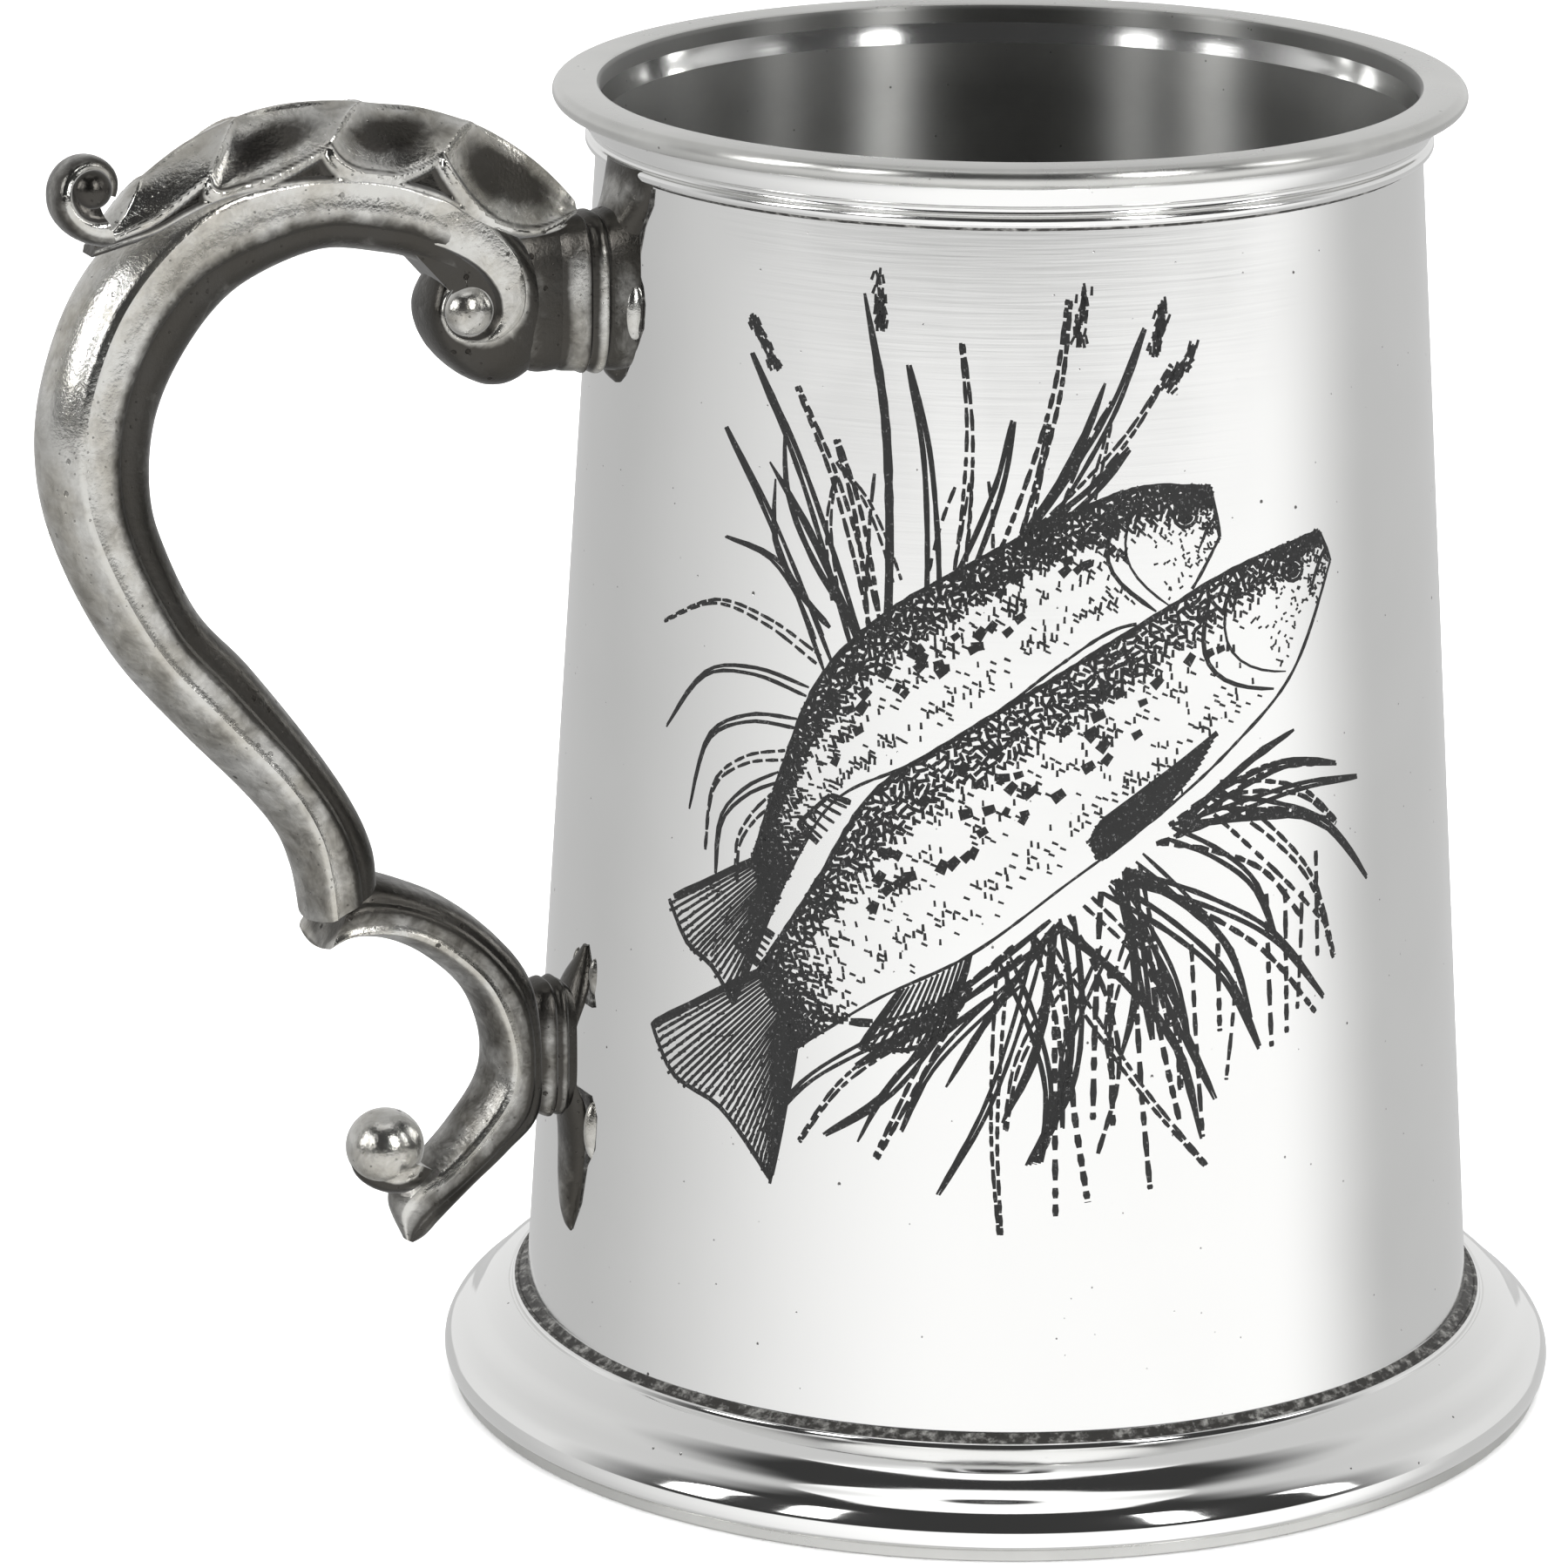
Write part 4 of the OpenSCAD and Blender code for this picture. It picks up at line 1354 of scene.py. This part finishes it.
# Backs and bellies of the two fish, from tail to nose, as (round the drum, up)
UPPER_BACK = [(-23, 60), (-20.5, 68), (-17, 77), (-11, 83.5), (-3, 88.5), (5, 92.5), (12.5, 95),
              (19.5, 94.5)]
UPPER_BELLY = [(-21, 55.5), (-15.5, 66), (-8, 70.5), (-1, 75), (5, 79.5), (10, 82.5), (16, 84),
               (20.5, 90)]
LOWER_BACK = [(-22, 50), (-16.5, 59), (-11.5, 67.5), (-4, 73), (4, 78), (12, 82.5), (22, 87),
              (32, 89)]
LOWER_BELLY = [(-18, 43.5), (-10.5, 49), (-2.5, 53.5), (6, 60), (14, 65.5), (21.5, 71), (28.5, 77),
               (33.5, 86)]


class TANKARD_OT_engraving(bpy.types.Operator):
    """Engrave two river fish among reeds on the front of the drum"""

    bl_idname = "tankard.engraving"
    bl_label = "Engraving"

    def execute(self, context):
        sizes = context.scene.tankard_sizes
        e = Engraver(sizes, -VIEW_TURN, 7)
        rng = e.random

        def under_lower(place):
            for i in range(41):
                back, belly = spline(LOWER_BACK, i / 40), spline(LOWER_BELLY, i / 40)
                middle = [(a + b) / 2 for a, b in zip(back, belly)]
                if math.dist(middle, place) < math.dist(back, belly) / 2:
                    return True
            return False

        draw_fish(e, LOWER_BACK, LOWER_BELLY)
        draw_fish(e, UPPER_BACK, UPPER_BELLY, under_lower)
        draw_web(e, [LOWER_BACK[0], (-19.5, 46.5), LOWER_BELLY[0]],
                 [(-34, 42.5), (-31, 38.5), (-26, 37), (-22.5, 34), (-20, 31)], 30)
        draw_web(e, [UPPER_BACK[0], (-22, 57.5), UPPER_BELLY[0]],
                 [(-32.5, 54.5), (-30, 51), (-27, 49.5), (-24.5, 46.5)], 20)
        draw_web(e, [(20, 72.5), (18, 69.5), (15.5, 67)], [(9, 65.5), (8, 63.5), (9, 62)], 14, 1.6)
        draw_web(e, [(-2.5, 53.5), (-5.5, 51.5), (-8.5, 50)],
                 [(-4.5, 46), (-8, 44.5), (-12, 44.5)], 13, 1.5)
        draw_web(e, [(-13.5, 66.5), (-16.5, 62.5)], [(-15.5, 67), (-18.5, 64)], 6)
        draw_web(e, [(-20.5, 53.5), (-22, 50.5)], [(-23, 54.5), (-24.5, 52)], 6)

        styles = ("double", "broken", "solid", "double", "broken")
        tops = ((-24, 106), (-19, 103.5), (-12, 112), (-8, 106), (-3, 108), (1.5, 101), (7, 111.5),
                (10, 104), (14, 108.5), (16.5, 105), (12, 98), (-15, 99), (-22, 96.5), (-27, 99))
        for k, tip in enumerate(tops):
            foot = -4 + 0.42 * tip[0] + rng.uniform(-1.5, 1.5)
            base = (foot, 79 + 0.68 * (foot + 15))
            size = math.dist(base, tip)
            angle = math.degrees(math.atan2(tip[1] - base[1], tip[0] - base[0]))
            e.blade(base, angle - 3, size, 6, rng.uniform(0.9, 1.35), styles[k % 5])
        for tip, angle in (((-24, 106.5), 125), ((-12, 111.5), 92), ((7, 110.5), 82),
                           ((14.5, 109), 80), ((16.8, 105.5), 52)):
            e.head(tip, math.radians(angle), 5.0, 1.5)
        for k in range(9):
            base = (-15.5 + 2.9 * k, 84.5 + 1.1 * k)
            e.blade(base, 70 + 40 * rng.random(), rng.uniform(6, 13), rng.uniform(-12, 12), 0.8,
                    ("broken", "dashed")[k % 2])
        leans = ((-18, 76, 165, 17, 35), (-17, 79, 150, 18, 28), (-16, 82, 140, 14, -24),
                 (-19, 73, 178, 15, 42), (-20, 70, 190, 13, 40), (-20.5, 68, 205, 12, 32),
                 (-21, 66, 222, 9, 24), (-15, 84, 128, 17, -16), (-17, 81, 118, 13, 26))
        for k, (a, z, angle, size, sag) in enumerate(leans):
            e.blade((a, z), angle, size, sag, 0.85, styles[k % 5])
        fans = ((1, 53.5, -142, -60, 12), (8, 58.5, -92, -22, 12), (16, 64.5, -46, 34, 14))
        for number, (a, z, start, end, count) in enumerate(fans):
            fan_styles = ("dashed", *styles) if number else styles
            for k in range(count):
                share = k / (count - 1)
                along = rng.uniform(-5, 5)
                base = (a + along, z + 0.7 * along)
                angle = start + (end - start) * share + rng.uniform(-4, 4)
                e.blade(base, angle, rng.uniform(17, 27) - 2 * number, rng.uniform(-22, 4),
                        rng.uniform(0.9, 1.3), fan_styles[k % 5])
        for k in range(7):
            base = (-8 + 3.4 * k + rng.uniform(-1, 1), 47 + 1.4 * k)
            e.blade(base, 205 + 7 * k + rng.uniform(-5, 5), rng.uniform(12, 20), 12, 0.9,
                    styles[k % 5])
        for k in range(12):
            start = (4 + 2.5 * k + rng.uniform(-1, 1), 48 + 0.9 * k + rng.uniform(-3, 3))
            size = rng.uniform(8, 19)
            lean = rng.uniform(-0.12, 0.22)
            e.dashes([start, (start[0] + size * lean * 0.4, start[1] - size * 0.5),
                      (start[0] + size * lean, start[1] - size)], rng.uniform(0.4, 0.65))
        make_piece("engraved_lines", e.bm, ["engraving_black"], "old_solder", sharp=180)
        return {"FINISHED"}


# ---- Stage ---------------------------------------------------------------------------


class TANKARD_OT_stage(bpy.types.Operator):
    """Set the floor, the soft studio light round the tankard and the camera"""

    bl_idname = "tankard.stage"
    bl_label = "Stage"

    def execute(self, context):
        self.floor()
        self.surroundings()
        self.overhead()
        self.camera()
        bpy.context.scene.view_settings.view_transform = "Standard"
        return {"FINISHED"}

    def floor(self):
        """A pale round floor that the metal doesn't mirror."""
        bm = bmesh.new()
        bmesh.ops.create_circle(bm, cap_ends=True, segments=96, radius=1.5)
        mesh = bpy.data.meshes.new("floor")
        bm.to_mesh(mesh)
        bm.free()
        floor = bpy.data.objects.new("floor", mesh)
        bpy.context.scene.collection.objects.link(floor)
        material = bpy.data.materials.new("pale_floor")
        material.use_nodes = True
        shader = material.node_tree.nodes["Principled BSDF"]
        shader.inputs["Base Color"].default_value = (0.9, 0.9, 0.9, 1)
        shader.inputs["Roughness"].default_value = 0.8
        mesh.materials.append(material)
        floor.visible_glossy = False

    def surroundings(self):
        """A studio as the metal sees it: a white table, a dark room in front with four upright
        strip lights and a softbox over it, and a pale backdrop at the sides and behind."""
        world = bpy.data.worlds.new("studio")
        bpy.context.scene.world = world
        world.use_nodes = True
        g = Graph(world.node_tree)
        heading = g.get("ShaderNodeTexCoord", output="Generated")
        turned = g.get("ShaderNodeMapping", {"vector_type": "POINT"}, {
            "Vector": heading, "Rotation": (0, 0, VIEW_TURN)})
        x, y, z = g.split(turned)
        azimuth = g.get("ShaderNodeMath", {"operation": "ARCTAN2"}, {0: x, 1: y * -1.0})
        right = g.step(azimuth, math.radians(70), math.radians(112))
        left = g.step(azimuth, math.radians(-125), math.radians(-5), 1.0, 0.0)
        table = 1.26 - right * 0.62 - left * 0.66
        aside = g.step(g.get("ShaderNodeMath", {"operation": "ABSOLUTE"}, {0: azimuth}),
                       math.radians(66), math.radians(104))
        lights = ((38, 6, 16.0), (-38, 6, 8.0), (-64, 7, 11.0), (74, 5, 7.0))
        strips = sum(g.pulse(azimuth, math.radians(middle), math.radians(half)) * power
                     for middle, half, power in lights)
        strips = strips * g.pulse(z, 0.42, 0.30)
        room = 0.045 + strips
        softbox = g.step(z, 0.925, 0.93) - g.step(z, 0.9925, 0.994)
        ceiling = g.step(z, 0.9925, 0.994) * (0.012 + g.pulse(z, 0.9978, 0.0006))
        front = room * (1 - g.step(z, 0.92, 0.925)) + softbox * 1.35 + ceiling
        backdrop = 0.86 - g.step(z, 0.1, 0.9) * 0.18
        above = front * (1 - aside) + backdrop * aside
        down = g.step(z, -0.10, -0.06)
        light = table * (1 - down) + above * down
        seen = g.get("ShaderNodeLightPath", output="Is Camera Ray")
        strength = light * (1 - seen) + seen * 1.05
        background = g.add("ShaderNodeBackground", None, {
            "Color": (1, 1, 1), "Strength": strength})
        output = g.add("ShaderNodeOutputWorld")
        g.tree.links.new(background.outputs[0], output.inputs[0])

    def overhead(self):
        """A wide soft lamp over the tankard."""
        lamp = bpy.data.lights.new("overhead", "AREA")
        lamp.shape = "DISK"
        lamp.size = 2.4
        lamp.energy = 60
        holder = bpy.data.objects.new("overhead", lamp)
        holder.location = (0, 0, 1.6)
        holder.visible_glossy = False
        bpy.context.scene.collection.objects.link(holder)

    def camera(self):
        """The camera, in front of the engraving and a little above the rim."""
        data = bpy.data.cameras.new("camera")
        data.sensor_width = 36
        data.lens = VIEW_LENS
        data.clip_start = 0.01
        camera = bpy.data.objects.new("camera", data)
        turn = Matrix.Rotation(-VIEW_TURN - VIEW_YAW, 4, "Z")
        tilt = Matrix.Rotation(math.pi / 2 - VIEW_PITCH, 4, "X")
        lean = Matrix.Rotation(VIEW_ROLL, 4, "Z")
        stand = Matrix.Translation((-VIEW_DISTANCE * math.sin(VIEW_TURN),
                                    -VIEW_DISTANCE * math.cos(VIEW_TURN), VIEW_HEIGHT))
        camera.matrix_world = stand @ turn @ tilt @ lean
        bpy.context.scene.collection.objects.link(camera)
        bpy.context.scene.camera = camera


# ---- Add-on --------------------------------------------------------------------------

# In the order that they run
BUILDERS = (
    TANKARD_OT_stage, TANKARD_OT_drum, TANKARD_OT_rim, TANKARD_OT_foot, TANKARD_OT_seams,
    TANKARD_OT_strap, TANKARD_OT_leaf, TANKARD_OT_volute, TANKARD_OT_mounts, TANKARD_OT_scroll,
    TANKARD_OT_engraving,
)


class TANKARD_PT_panel(bpy.types.Panel):
    """The tankard's sizes, finish and building steps"""

    bl_idname = "TANKARD_PT_panel"
    bl_label = "Tankard"
    bl_space_type = "VIEW_3D"
    bl_region_type = "UI"
    bl_category = "Tankard"

    def draw(self, context):
        for group in (context.scene.tankard_sizes, context.scene.tankard_finish):
            for name in group.__annotations__:
                self.layout.prop(group, name)
        for builder in BUILDERS:
            self.layout.operator(builder.bl_idname)


def register():
    for kind in (TankardSizes, TankardFinish, *BUILDERS, TANKARD_PT_panel):
        bpy.utils.register_class(kind)
    bpy.types.Scene.tankard_sizes = bpy.props.PointerProperty(type=TankardSizes)
    bpy.types.Scene.tankard_finish = bpy.props.PointerProperty(type=TankardFinish)


def unregister():
    del bpy.types.Scene.tankard_finish
    del bpy.types.Scene.tankard_sizes
    for kind in (TANKARD_PT_panel, *reversed(BUILDERS), TankardFinish, TankardSizes):
        bpy.utils.unregister_class(kind)


def main():
    register()
    for builder in BUILDERS:
        section, step = builder.bl_idname.split(".")
        getattr(getattr(bpy.ops, section), step)()


if __name__ == "__main__":
    main()
